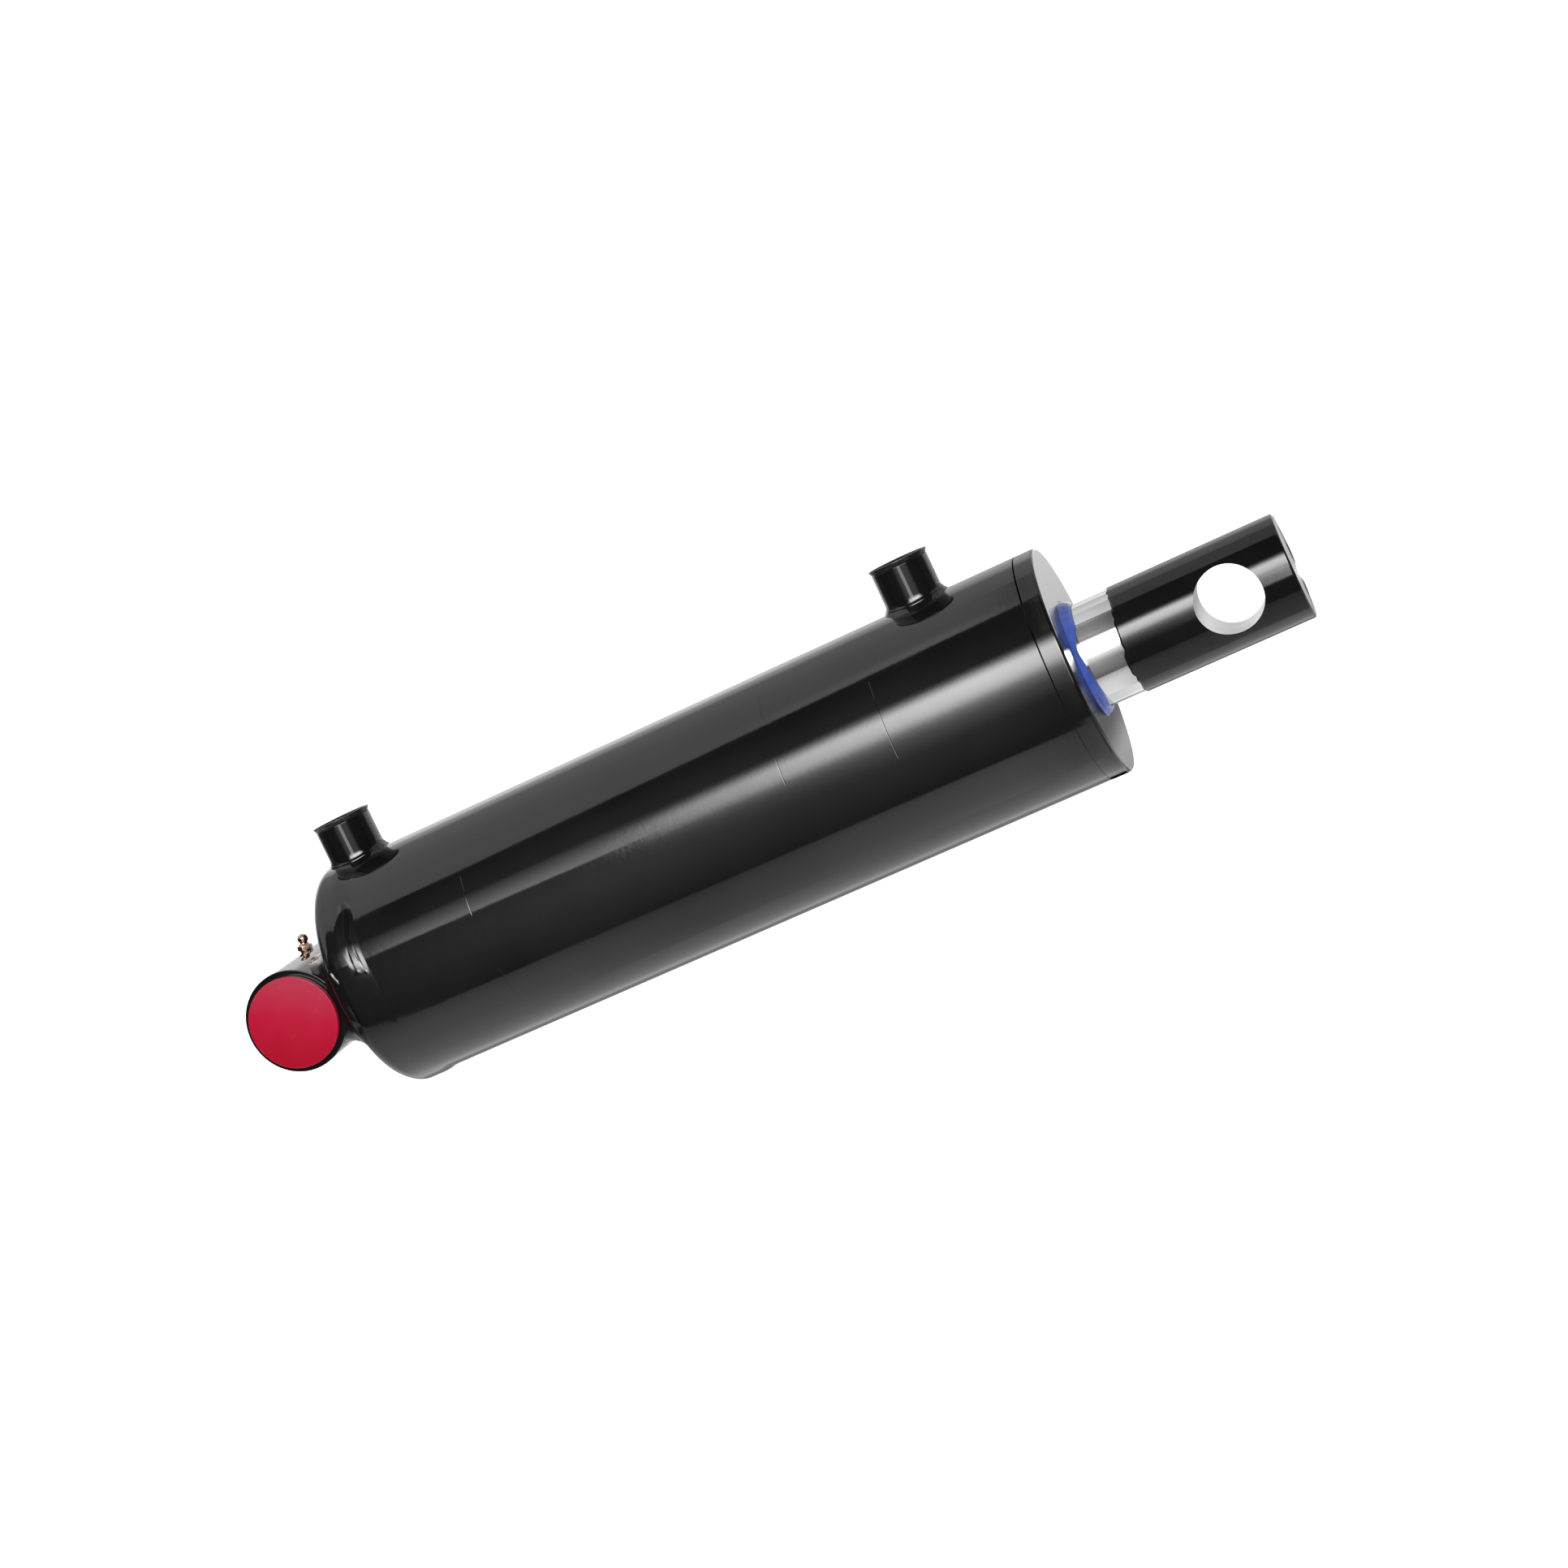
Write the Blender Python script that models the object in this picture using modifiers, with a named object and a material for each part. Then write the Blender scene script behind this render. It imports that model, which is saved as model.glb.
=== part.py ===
"""Double-acting welded hydraulic cylinder with a cross tube at its base and a pin eye on its rod.

Frame: metres. The origin is the centre of the base cross tube's bore. +X runs along the rod, out of
the cylinder. +Z points to the two oil ports. Y is the axis of both mounting pins. The rod is shown
fully retracted.
"""
import math

import bmesh
import bpy
from mathutils import Matrix, Vector

MM = 0.001

# ---- Driving dimensions, in millimetres -------------------------------------------------------
GAP = 0.3                    # clearance between two pieces that touch or are joined
BORE_R = 40.0                # 80 mm bore
WALL = 5.0                   # tube wall
TUBE_R = BORE_R + WALL
ROD_R = 20.0                 # 40 mm chromed rod
STROKE = 180.0

CROSS_TUBE_R = 20.1
PIN_BORE_R = 12.75           # both pin bores take a 25 mm pin
CROSS_TUBE_HALF = 38.0

CAP_REAR_X = 21.0            # rear face of the base cap
CAP_R = 46.0                 # the cap stands a little proud of the tube
CAP_SEAM_X = 31.0            # rear end of the barrel tube
CAP_ROUND = 5.5
CAP_INNER_X = 33.0
GLAND_SEAM_X = 320.0         # front end of the barrel tube
GLAND_FACE_X = 328.0         # bare front face of the gland
GLAND_SHOULDER_X = 287.0
EYE_START_X = 345.0
EYE_HOLE_X = 386.3
EYE_END_X = 411.4
EYE_R = ROD_R + 0.6

PORT_X = {"base": 37.8, "head": 280.2}
PORT_TOP_Z = 60.4            # top of a steel port boss
PORT_BOSS_R = 11.2
PORT_BORE_R = 8.3            # 3/8 inch parallel thread
PORT_HOLE_R = 4.5            # oil hole through the tube wall
PORT_FLANGE_R = 11.9

PISTON_REAR_X = 46.0
PISTON_FRONT_X = 82.0
PISTON_R = 39.4
SPIGOT_R = 13.5              # M27 rod end that carries the piston
SEAL_R = 39.6                # outside of every piece that runs on the bore
GLAND_NOSE_X = PISTON_FRONT_X + STROKE + 0.5
GREASE_TILT = math.radians(12.0)

LARGE_STEPS = 36
SMALL_STEPS = 28
AXES = {
    "X": Matrix.Rotation(math.radians(90.0), 4, "Y"),
    "Y": Matrix.Rotation(math.radians(-90.0), 4, "X"),
    "-Y": Matrix.Rotation(math.radians(90.0), 4, "X"),
    "Z": Matrix.Identity(4),
}

# name: (base colour, metallic, roughness)
FINISHES = {
    "black_paint": ((0.012, 0.012, 0.013), 0.0, 0.22),
    "bare_steel": ((0.56, 0.56, 0.57), 1.0, 0.34),
    "hard_chrome": ((0.72, 0.72, 0.73), 1.0, 0.10),
    "red_plastic": ((0.42, 0.012, 0.035), 0.0, 0.42),
    "black_plastic": ((0.010, 0.010, 0.011), 0.0, 0.35),
    "blue_polyurethane": ((0.03, 0.09, 0.36), 0.0, 0.38),
    "black_rubber": ((0.02, 0.02, 0.02), 0.0, 0.60),
    "guide_resin": ((0.20, 0.14, 0.08), 0.0, 0.50),
    "brass": ((0.55, 0.36, 0.20), 1.0, 0.30),
}


# ---- Scene and helper functions ---------------------------------------------------------------
def clear_scene():
    for old in list(bpy.data.objects):
        bpy.data.objects.remove(old, do_unlink=True)


def add_collection(name):
    collection = bpy.data.collections.new(name)
    bpy.context.scene.collection.children.link(collection)
    return collection


def make_material(node_name, finish):
    colour, metallic, roughness = FINISHES[finish]
    material = bpy.data.materials.new(node_name + "_" + finish)
    material.use_nodes = True
    shader = material.node_tree.nodes["Principled BSDF"]
    shader.inputs["Base Color"].default_value = (*colour, 1.0)
    shader.inputs["Metallic"].default_value = metallic
    shader.inputs["Roughness"].default_value = roughness
    return material


def finish_mesh(mesh):
    mesh.shade_smooth()
    mesh.set_sharp_from_angle(angle=math.radians(30.0))


def place(name, mesh, finish, matrix):
    """Add a finished mesh to the part as a named object."""
    finish_mesh(mesh)
    part = bpy.data.objects.new(name, mesh)
    part.matrix_world = matrix
    mesh.materials.append(make_material(name, finish))
    PARTS.objects.link(part)
    return part


def place_cutter(name, mesh, matrix):
    cutter = bpy.data.objects.new(name, mesh)
    cutter.matrix_world = matrix
    cutter.hide_render = True
    cutter.display_type = "WIRE"
    CUTTERS.objects.link(cutter)
    return cutter


def cut(part, cutter, operation="DIFFERENCE"):
    modifier = part.modifiers.new(operation.title(), "BOOLEAN")
    modifier.operation = operation
    modifier.solver = "EXACT"
    modifier.object = cutter


def evaluated_mesh(source):
    """The mesh a temporary object's modifiers or curve settings give; the object is removed."""
    bpy.context.scene.collection.objects.link(source)
    depsgraph = bpy.context.evaluated_depsgraph_get()
    depsgraph.update()
    mesh = bpy.data.meshes.new_from_object(source.evaluated_get(depsgraph))
    bpy.data.objects.remove(source, do_unlink=True)
    return mesh


def turned_mesh(points, closed, steps):
    """Spin a profile of (height, radius) points, in millimetres, about Z."""
    vertices = [(radius * MM, 0.0, height * MM) for height, radius in points]
    edges = [(index, index + 1) for index in range(len(vertices) - 1)]
    if closed:
        edges.append((len(vertices) - 1, 0))
    profile = bpy.data.meshes.new("profile")
    profile.from_pydata(vertices, edges, [])
    source = bpy.data.objects.new("profile", profile)
    screw = source.modifiers.new("Screw", "SCREW")
    screw.axis = "Z"
    screw.steps = steps
    screw.render_steps = steps
    screw.use_merge_vertices = True
    screw.merge_threshold = 0.00001
    return evaluated_mesh(source)


def solid_profile(outer):
    """Close an outline given from bottom to top onto the axis."""
    return [(outer[-1][0], 0.0)] + outer[::-1] + [(outer[0][0], 0.0)]


def axis_matrix(axis, centre):
    return Matrix.Translation(Vector(centre) * MM) @ AXES[axis]


def turned_solid(name, outer, finish, axis="X", centre=(0, 0, 0), steps=LARGE_STEPS):
    mesh = turned_mesh(solid_profile(outer), False, steps)
    return place(name, mesh, finish, axis_matrix(axis, centre))


def turned_ring(name, outer, inner, finish, axis="X", centre=(0, 0, 0), steps=LARGE_STEPS):
    """A hollow turned piece. Both outlines are (height, radius) points from bottom to top."""
    mesh = turned_mesh(outer[::-1] + inner, True, steps)
    return place(name, mesh, finish, axis_matrix(axis, centre))


def plain_ring(name, low, high, inner_r, outer_r, finish, steps=LARGE_STEPS):
    """A band of rectangular section about X."""
    outer = [(low, outer_r), (high, outer_r)]
    inner = [(low, inner_r), (high, inner_r)]
    return turned_ring(name, outer, inner, finish, steps=steps)


def cord_ring(name, x, ring_r, cord_r, finish, sides=6, steps=SMALL_STEPS):
    """An O-ring about X: a round section turned into a ring."""
    points = []
    for index in range(sides):
        angle = -2.0 * math.pi * (index + 0.5) / sides
        points.append((x + cord_r * math.sin(angle), ring_r + cord_r * math.cos(angle)))
    mesh = turned_mesh(points, True, steps)
    return place(name, mesh, finish, axis_matrix("X", (0, 0, 0)))


def cylinder_mesh(radius, length, segments=LARGE_STEPS):
    mesh = bpy.data.meshes.new("cylinder")
    bm = bmesh.new()
    bmesh.ops.create_cone(bm, cap_ends=True, segments=segments, radius1=radius * MM,
                          radius2=radius * MM, depth=length * MM)
    bm.to_mesh(mesh)
    bm.free()
    return mesh


def cylinder_cutter(name, radius, length, axis, centre, segments=LARGE_STEPS):
    return place_cutter(name, cylinder_mesh(radius, length, segments), axis_matrix(axis, centre))


def box_cutter(name, low, high):
    mesh = bpy.data.meshes.new("box")
    bm = bmesh.new()
    bmesh.ops.create_cube(bm, size=1.0)
    size = [(high[axis] - low[axis]) * MM for axis in range(3)]
    bmesh.ops.scale(bm, vec=size, verts=bm.verts)
    bm.to_mesh(mesh)
    bm.free()
    centre = [(high[axis] + low[axis]) / 2.0 for axis in range(3)]
    return place_cutter(name, mesh, axis_matrix("Z", centre))


def arc(centre, radius, start, end, count):
    """(height, radius) points along a round corner, angles in degrees from the height axis."""
    points = []
    for index in range(count + 1):
        angle = math.radians(start + (end - start) * index / count)
        points.append((centre[0] + radius * math.cos(angle), centre[1] + radius * math.sin(angle)))
    return points


# ---- Barrel, base cap and their weld ----------------------------------------------------------
WELD_ROOT_R = 42.6
WIRE_X = 308.0               # retaining wire, half in the gland and half in the tube
WIRE_HALF = 1.8
WIRE_CORD_R = 1.5


def make_barrel_tube():
    bevel = TUBE_R - WELD_ROOT_R
    outer = [(CAP_SEAM_X, WELD_ROOT_R), (CAP_SEAM_X + bevel, TUBE_R),
             (GLAND_SEAM_X - 0.5, TUBE_R), (GLAND_SEAM_X, TUBE_R - 0.5)]
    groove_r = BORE_R + 1.7
    inner = [(CAP_SEAM_X, BORE_R), (WIRE_X - WIRE_HALF, BORE_R), (WIRE_X - WIRE_HALF, groove_r),
             (WIRE_X + WIRE_HALF, groove_r), (WIRE_X + WIRE_HALF, BORE_R),
             (GLAND_SEAM_X - 1.0, BORE_R), (GLAND_SEAM_X, BORE_R + 1.0)]
    tube = turned_ring("barrel_tube", outer, inner, "black_paint")
    for end, port_x in PORT_X.items():
        drill = cylinder_cutter("cut_oil_hole_" + end, PORT_HOLE_R, 20.0, "Z",
                                (port_x, 0.0, TUBE_R - WALL / 2.0), 24)
        cut(tube, drill)


def make_base_cap():
    corner = arc((CAP_REAR_X + CAP_ROUND, CAP_R - CAP_ROUND), CAP_ROUND, 180.0, 90.0, 5)
    outer = corner + [(27.3, CAP_R), (28.4, TUBE_R), (30.7, WELD_ROOT_R), (30.7, BORE_R - GAP),
                      (CAP_INNER_X, BORE_R - GAP), (CAP_INNER_X, 15.0), (CAP_INNER_X + 3.0, 14.0)]
    turned_solid("base_cap", outer, "black_paint")


def make_base_cap_weld():
    crown = [(27.75, CAP_R), (30.0, 45.9), (32.5, 45.7), (35.0, 45.5), (38.5, 45.33)]
    root = [(28.62, 45.2), (30.86, 42.95), (33.15, 45.25)]
    turned_ring("base_cap_weld", crown, root, "black_paint")


# ---- Cross tube, its weld, bore plugs and grease fitting --------------------------------------
GREASE_HOLE_R = 2.5


def grease_matrix():
    """Stands the grease fitting on the cross tube, leaning a little towards the barrel."""
    foot = Vector((0.0, 0.0, CROSS_TUBE_R)) * MM
    return Matrix.Translation(foot) @ Matrix.Rotation(GREASE_TILT, 4, "Y")


def make_cross_tube():
    half = CROSS_TUBE_HALF
    outer = [(-half, CROSS_TUBE_R - 0.7), (0.7 - half, CROSS_TUBE_R),
             (half - 0.7, CROSS_TUBE_R), (half, CROSS_TUBE_R - 0.7)]
    inner = [(-half, PIN_BORE_R), (half, PIN_BORE_R)]
    tube = turned_ring("cross_tube", outer, inner, "black_paint", axis="Y")
    drill = place_cutter("cut_grease_hole", cylinder_mesh(GREASE_HOLE_R, 24.0, 24), grease_matrix())
    cut(tube, drill)


def make_cross_tube_weld():
    """Filler between the cross tube and the cap's rear face, with hollow flanks."""
    wrap = math.radians(50.0)
    contact_r = CROSS_TUBE_R + GAP
    plane_x = CAP_REAR_X - GAP
    top_z = 23.5
    outline = []
    for index in range(13):
        angle = wrap - 2.0 * wrap * index / 12
        outline.append((contact_r * math.cos(angle), contact_r * math.sin(angle)))
    low_x, low_z = outline[-1]
    flank = []
    for index in range(1, 6):
        share = index / 6
        sink = 1.6 * math.sin(math.pi * share)
        flank.append((low_x + (plane_x - low_x) * share + sink,
                      low_z - (top_z + low_z) * share + sink))
    outline += flank
    outline.append((plane_x, -top_z))
    outline.append((plane_x, top_z))
    outline += [(x, -z) for x, z in flank[::-1]]
    mesh = bpy.data.meshes.new("cross_tube_weld")
    bm = bmesh.new()
    rim = [bm.verts.new((x * MM, -34.0 * MM, z * MM)) for x, z in outline]
    face = bm.faces.new(rim)
    sweep = bmesh.ops.extrude_face_region(bm, geom=[face])
    moved = [item for item in sweep["geom"] if isinstance(item, bmesh.types.BMVert)]
    bmesh.ops.translate(bm, verts=moved, vec=(0.0, 68.0 * MM, 0.0))
    bmesh.ops.recalc_face_normals(bm, faces=bm.faces)
    bm.to_mesh(mesh)
    bm.free()
    place("cross_tube_weld", mesh, "black_paint", Matrix.Identity(4))


def make_bore_plugs():
    """Push-in plastic plugs that keep dirt out of the cross tube until it is fitted."""
    seat = CROSS_TUBE_HALF + GAP
    outer = [(seat - 8.3, PIN_BORE_R - 0.8), (seat - 7.3, PIN_BORE_R - GAP),
             (seat, PIN_BORE_R - GAP), (seat, 17.6), (seat + 0.5, 18.0), (seat + 1.9, 18.0),
             (seat + 2.5, 17.3), (seat + 2.5, 16.0), (seat + 2.2, 15.0)]
    for name, axis in (("bore_plug_near", "-Y"), ("bore_plug_far", "Y")):
        turned_solid(name, outer, "red_plastic", axis=axis)


def make_grease_fitting():
    """Thread and nipple turned in one, with a hexagon joined on."""
    outer = [(-5.0, 1.8), (-4.6, 2.2), (0.3, 2.2), (0.3, 2.5), (2.5, 2.5), (2.5, 2.0), (3.7, 1.4),
             (4.3, 1.4), (5.0, 2.0), (6.0, 2.1), (6.8, 1.7), (7.2, 0.9)]
    mesh = turned_mesh(solid_profile(outer), False, 24)
    fitting = place("grease_fitting", mesh, "brass", grease_matrix())
    lift = Matrix.Translation((0.0, 0.0, 1.4 * MM))
    hexagon = place_cutter("join_grease_hexagon", cylinder_mesh(3.1, 1.8, 6), grease_matrix() @ lift)
    cut(fitting, hexagon, "UNION")


# ---- Oil ports --------------------------------------------------------------------------------
SADDLE_R = 46.3              # clears the tube and the crown of the cap weld


def make_ports():
    saddle = cylinder_cutter("cut_port_saddle", SADDLE_R, 340.0, "X", (170.0, 0.0, 0.0), 72)
    for end, port_x in PORT_X.items():
        centre = (port_x, 0.0, 0.0)
        boss_outer = [(43.0, PORT_BOSS_R), (PORT_TOP_Z - 0.6, PORT_BOSS_R),
                      (PORT_TOP_Z, PORT_BOSS_R - 0.6)]
        boss_inner = [(43.0, PORT_BORE_R), (PORT_TOP_Z - 0.8, PORT_BORE_R),
                      (PORT_TOP_Z, PORT_BORE_R + 0.8)]
        boss = turned_ring("port_boss_" + end, boss_outer, boss_inner, "black_paint", "Z",
                           centre, SMALL_STEPS)
        cut(boss, saddle)
        weld_in = PORT_BOSS_R + GAP
        weld_outer = [(42.0, 13.9), (47.3, 13.7), (48.6, 13.0), (50.2, 12.0), (51.6, 11.5)]
        weld_inner = [(42.0, weld_in), (51.6, weld_in)]
        weld = turned_ring("port_weld_" + end, weld_outer, weld_inner, "black_paint", "Z",
                           centre, SMALL_STEPS)
        cut(weld, saddle)
        seat = PORT_TOP_Z + GAP
        plug = [(seat - 7.5, PORT_BORE_R - 0.9), (seat - 6.5, PORT_BORE_R - GAP),
                (seat, PORT_BORE_R - GAP), (seat, 10.4), (seat + 0.7, PORT_FLANGE_R),
                (seat + 1.5, PORT_FLANGE_R), (seat + 1.5, 8.0), (seat + 1.1, 7.0)]
        turned_solid("port_plug_" + end, plug, "black_plastic", "Z", centre, SMALL_STEPS)


# ---- Gland and everything it carries ----------------------------------------------------------
ROD_CLEAR_R = ROD_R + 0.45
ROD_SEAL_X = (302.0, 309.0)
WEAR_RING_X = (270.0, 290.0)
STATIC_SEAL_X = (291.0, 297.5)
WIPER_SEAT_X = 321.0


def make_gland():
    body_r = BORE_R - GAP
    nose_r = 29.0
    collar_x = GLAND_SEAM_X + GAP
    outer = [(GLAND_NOSE_X, nose_r - 1.0), (GLAND_NOSE_X + 1.0, nose_r),
             (GLAND_SHOULDER_X, nose_r), (GLAND_SHOULDER_X, body_r - 0.8),
             (GLAND_SHOULDER_X + 0.8, body_r), (STATIC_SEAL_X[0], body_r),
             (STATIC_SEAL_X[0], 36.6), (STATIC_SEAL_X[1], 36.6), (STATIC_SEAL_X[1], body_r),
             (WIRE_X - WIRE_HALF, body_r), (WIRE_X - WIRE_HALF, 38.0), (WIRE_X + WIRE_HALF, 38.0),
             (WIRE_X + WIRE_HALF, body_r), (collar_x, body_r), (collar_x, TUBE_R - 0.6),
             (collar_x + 0.6, TUBE_R)]
    outer += arc((GLAND_FACE_X - 1.4, TUBE_R - 1.4), 1.4, 90.0, 0.0, 4)
    inner = [(GLAND_NOSE_X, ROD_CLEAR_R), (WEAR_RING_X[0], ROD_CLEAR_R), (WEAR_RING_X[0], 22.9),
             (WEAR_RING_X[1], 22.9), (WEAR_RING_X[1], ROD_CLEAR_R), (ROD_SEAL_X[0], ROD_CLEAR_R),
             (ROD_SEAL_X[0], 25.3), (ROD_SEAL_X[1], 25.3), (ROD_SEAL_X[1], ROD_CLEAR_R),
             (WIPER_SEAT_X, ROD_CLEAR_R), (WIPER_SEAT_X, 25.0), (GLAND_FACE_X - 1.2, 25.0),
             (GLAND_FACE_X, 26.2)]
    gland = turned_ring("gland", outer, inner, "bare_steel")
    slot = box_cutter("cut_spanner_slot", (collar_x - 1.0, -9.0, -50.0),
                      (collar_x + 5.0, -3.0, 2.0 - TUBE_R))
    cut(gland, slot)


def make_gland_seals():
    cord_ring("gland_o_ring", STATIC_SEAL_X[0] + 2.1, 38.28, 1.37, "black_rubber")
    plain_ring("gland_backup_ring", STATIC_SEAL_X[1] - 2.4, STATIC_SEAL_X[1] - 0.3, 36.9, 39.6,
               "guide_resin", SMALL_STEPS)
    plain_ring("rod_wear_ring", WEAR_RING_X[0] + GAP, WEAR_RING_X[1] - GAP, ROD_R + GAP, 22.6,
               "guide_resin", SMALL_STEPS)
    low = ROD_SEAL_X[0] + GAP
    high = ROD_SEAL_X[1] - GAP
    lips = [(low, 23.8), (low + 3.0, 22.65), (low, 21.5), (low, ROD_R + GAP), (high, ROD_R + GAP)]
    turned_ring("rod_seal", [(low, 25.0), (high, 25.0)], lips, "blue_polyurethane",
                steps=SMALL_STEPS)
    wiper_outer = [(WIPER_SEAT_X + GAP, 24.7), (GLAND_FACE_X - 1.6, 24.7),
                   (GLAND_FACE_X - 0.4, 23.6), (GLAND_FACE_X + 0.6, 22.8),
                   (GLAND_FACE_X + 2.4, 22.1), (GLAND_FACE_X + 4.4, 20.9)]
    wiper_inner = [(WIPER_SEAT_X + GAP, 21.2), (GLAND_FACE_X - 1.5, 21.2),
                   (GLAND_FACE_X + 3.4, ROD_R + GAP), (GLAND_FACE_X + 4.4, ROD_R + GAP)]
    turned_ring("wiper_seal", wiper_outer, wiper_inner, "blue_polyurethane", steps=LARGE_STEPS)


def make_retaining_wire():
    """A split ring of round wire that locks the gland in the tube."""
    ring_r = BORE_R - 0.15
    count = 44
    opening = math.radians(12.0)
    curve = bpy.data.curves.new("wire_path", "CURVE")
    curve.dimensions = "3D"
    curve.bevel_depth = WIRE_CORD_R * MM
    curve.bevel_resolution = 2
    curve.use_fill_caps = True
    spline = curve.splines.new("POLY")
    spline.points.add(count - 1)
    for index in range(count):
        angle = opening / 2.0 + (2.0 * math.pi - opening) * index / (count - 1) - math.pi / 2.0
        spline.points[index].co = (WIRE_X * MM, ring_r * MM * math.cos(angle),
                                   ring_r * MM * math.sin(angle), 1.0)
    mesh = evaluated_mesh(bpy.data.objects.new("wire_path", curve))
    bm = bmesh.new()
    bm.from_mesh(mesh)
    bmesh.ops.remove_doubles(bm, verts=bm.verts, dist=0.00001)
    bmesh.ops.recalc_face_normals(bm, faces=bm.faces)
    bm.to_mesh(mesh)
    bm.free()
    place("gland_retaining_wire", mesh, "bare_steel", Matrix.Identity(4))


# ---- Rod, eye and piston ----------------------------------------------------------------------
NUT_X = (36.7, 50.7)
NUT_RECESS_X = NUT_X[1] + GAP
NUT_CORNER_R = 23.7          # 41 mm across the flats
STATIC_GROOVE_X = (60.0, 63.4)
BAND_REAR_X = (49.5, 56.0)
BAND_FRONT_X = (70.0, 78.0)
PISTON_SEAL_X = (59.0, 66.0)


def make_piston_rod():
    shoulder = PISTON_FRONT_X + GAP
    outer = [(36.3, SPIGOT_R - 0.8), (37.1, SPIGOT_R), (shoulder, SPIGOT_R),
             (shoulder, ROD_R - 0.8), (shoulder + 0.8, ROD_R), (EYE_START_X - GAP, ROD_R)]
    turned_solid("piston_rod", outer, "hard_chrome")


def make_rod_eye():
    outer = [(EYE_START_X, EYE_R - 0.5), (EYE_START_X + 0.5, EYE_R), (EYE_END_X - 0.9, EYE_R),
             (EYE_END_X, EYE_R - 0.9)]
    eye = turned_solid("rod_eye", outer, "black_paint")
    cut(eye, cylinder_cutter("cut_pin_bore", PIN_BORE_R, 60.0, "Y", (EYE_HOLE_X, 0.0, 0.0)))


def make_piston():
    def groove(span, floor_r):
        return [(span[0], PISTON_R), (span[0], floor_r), (span[1], floor_r), (span[1], PISTON_R)]

    outer = [(PISTON_REAR_X, PISTON_R - 1.0), (PISTON_REAR_X + 1.0, PISTON_R)]
    outer += groove(BAND_REAR_X, 37.3) + groove(PISTON_SEAL_X, 34.2) + groove(BAND_FRONT_X, 37.3)
    outer += [(PISTON_FRONT_X - 1.0, PISTON_R), (PISTON_FRONT_X, PISTON_R - 1.0)]
    bore = SPIGOT_R + GAP
    inner = [(PISTON_REAR_X, 24.3), (NUT_RECESS_X, 24.3), (NUT_RECESS_X, bore),
             (STATIC_GROOVE_X[0], bore), (STATIC_GROOVE_X[0], bore + 2.2),
             (STATIC_GROOVE_X[1], bore + 2.2), (STATIC_GROOVE_X[1], bore), (PISTON_FRONT_X, bore)]
    turned_ring("piston", outer, inner, "bare_steel")
    cord_ring("piston_o_ring", sum(STATIC_GROOVE_X) / 2.0, bore + 0.95, 0.9, "black_rubber")


def make_piston_nut():
    length = NUT_X[1] - NUT_X[0]
    middle = sum(NUT_X) / 2.0
    nut = place("piston_nut", cylinder_mesh(NUT_CORNER_R, length, 6), "bare_steel",
                axis_matrix("X", (middle, 0.0, 0.0)))
    cut(nut, cylinder_cutter("cut_nut_bore", SPIGOT_R + GAP, 40.0, "X", (middle, 0.0, 0.0)))


def make_piston_seals():
    plain_ring("piston_wear_band_rear", BAND_REAR_X[0] + GAP, BAND_REAR_X[1] - GAP, 37.6, SEAL_R,
               "guide_resin")
    plain_ring("piston_wear_band_front", BAND_FRONT_X[0] + GAP, BAND_FRONT_X[1] - GAP, 37.6,
               SEAL_R, "guide_resin")
    plain_ring("piston_seal", PISTON_SEAL_X[0] + GAP, PISTON_SEAL_X[1] - GAP, 37.0, SEAL_R,
               "blue_polyurethane")
    cord_ring("piston_seal_energizer", sum(PISTON_SEAL_X) / 2.0, 35.6, 1.05, "black_rubber")


clear_scene()
PARTS = add_collection("hydraulic_cylinder")
CUTTERS = add_collection("hydraulic_cylinder_cutters")
make_barrel_tube()
make_base_cap()
make_base_cap_weld()
make_cross_tube()
make_cross_tube_weld()
make_bore_plugs()
make_grease_fitting()
make_ports()
make_gland()
make_gland_seals()
make_retaining_wire()
make_piston_rod()
make_rod_eye()
make_piston()
make_piston_nut()
make_piston_seals()
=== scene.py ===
import math

import bmesh
import bpy
import numpy as np
from mathutils import Matrix, Vector


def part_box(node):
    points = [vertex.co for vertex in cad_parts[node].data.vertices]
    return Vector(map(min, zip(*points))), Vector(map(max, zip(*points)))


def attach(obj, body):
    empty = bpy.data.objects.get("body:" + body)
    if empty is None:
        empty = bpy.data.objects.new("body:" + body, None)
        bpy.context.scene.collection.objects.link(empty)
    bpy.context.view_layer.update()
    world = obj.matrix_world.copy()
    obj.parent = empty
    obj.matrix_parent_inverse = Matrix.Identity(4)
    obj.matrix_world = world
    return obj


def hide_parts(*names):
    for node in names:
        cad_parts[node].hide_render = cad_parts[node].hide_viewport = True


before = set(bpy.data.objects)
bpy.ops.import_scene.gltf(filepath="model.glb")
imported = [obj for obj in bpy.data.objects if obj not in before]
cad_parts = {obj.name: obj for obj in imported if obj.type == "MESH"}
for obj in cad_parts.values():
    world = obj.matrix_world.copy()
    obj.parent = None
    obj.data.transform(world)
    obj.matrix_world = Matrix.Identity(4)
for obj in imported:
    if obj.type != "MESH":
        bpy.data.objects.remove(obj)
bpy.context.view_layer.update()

MM = 0.001
TAU = 2.0 * math.pi


def low(node, axis):
    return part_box(node)[0][axis] / MM


def high(node, axis):
    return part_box(node)[1][axis] / MM


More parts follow.
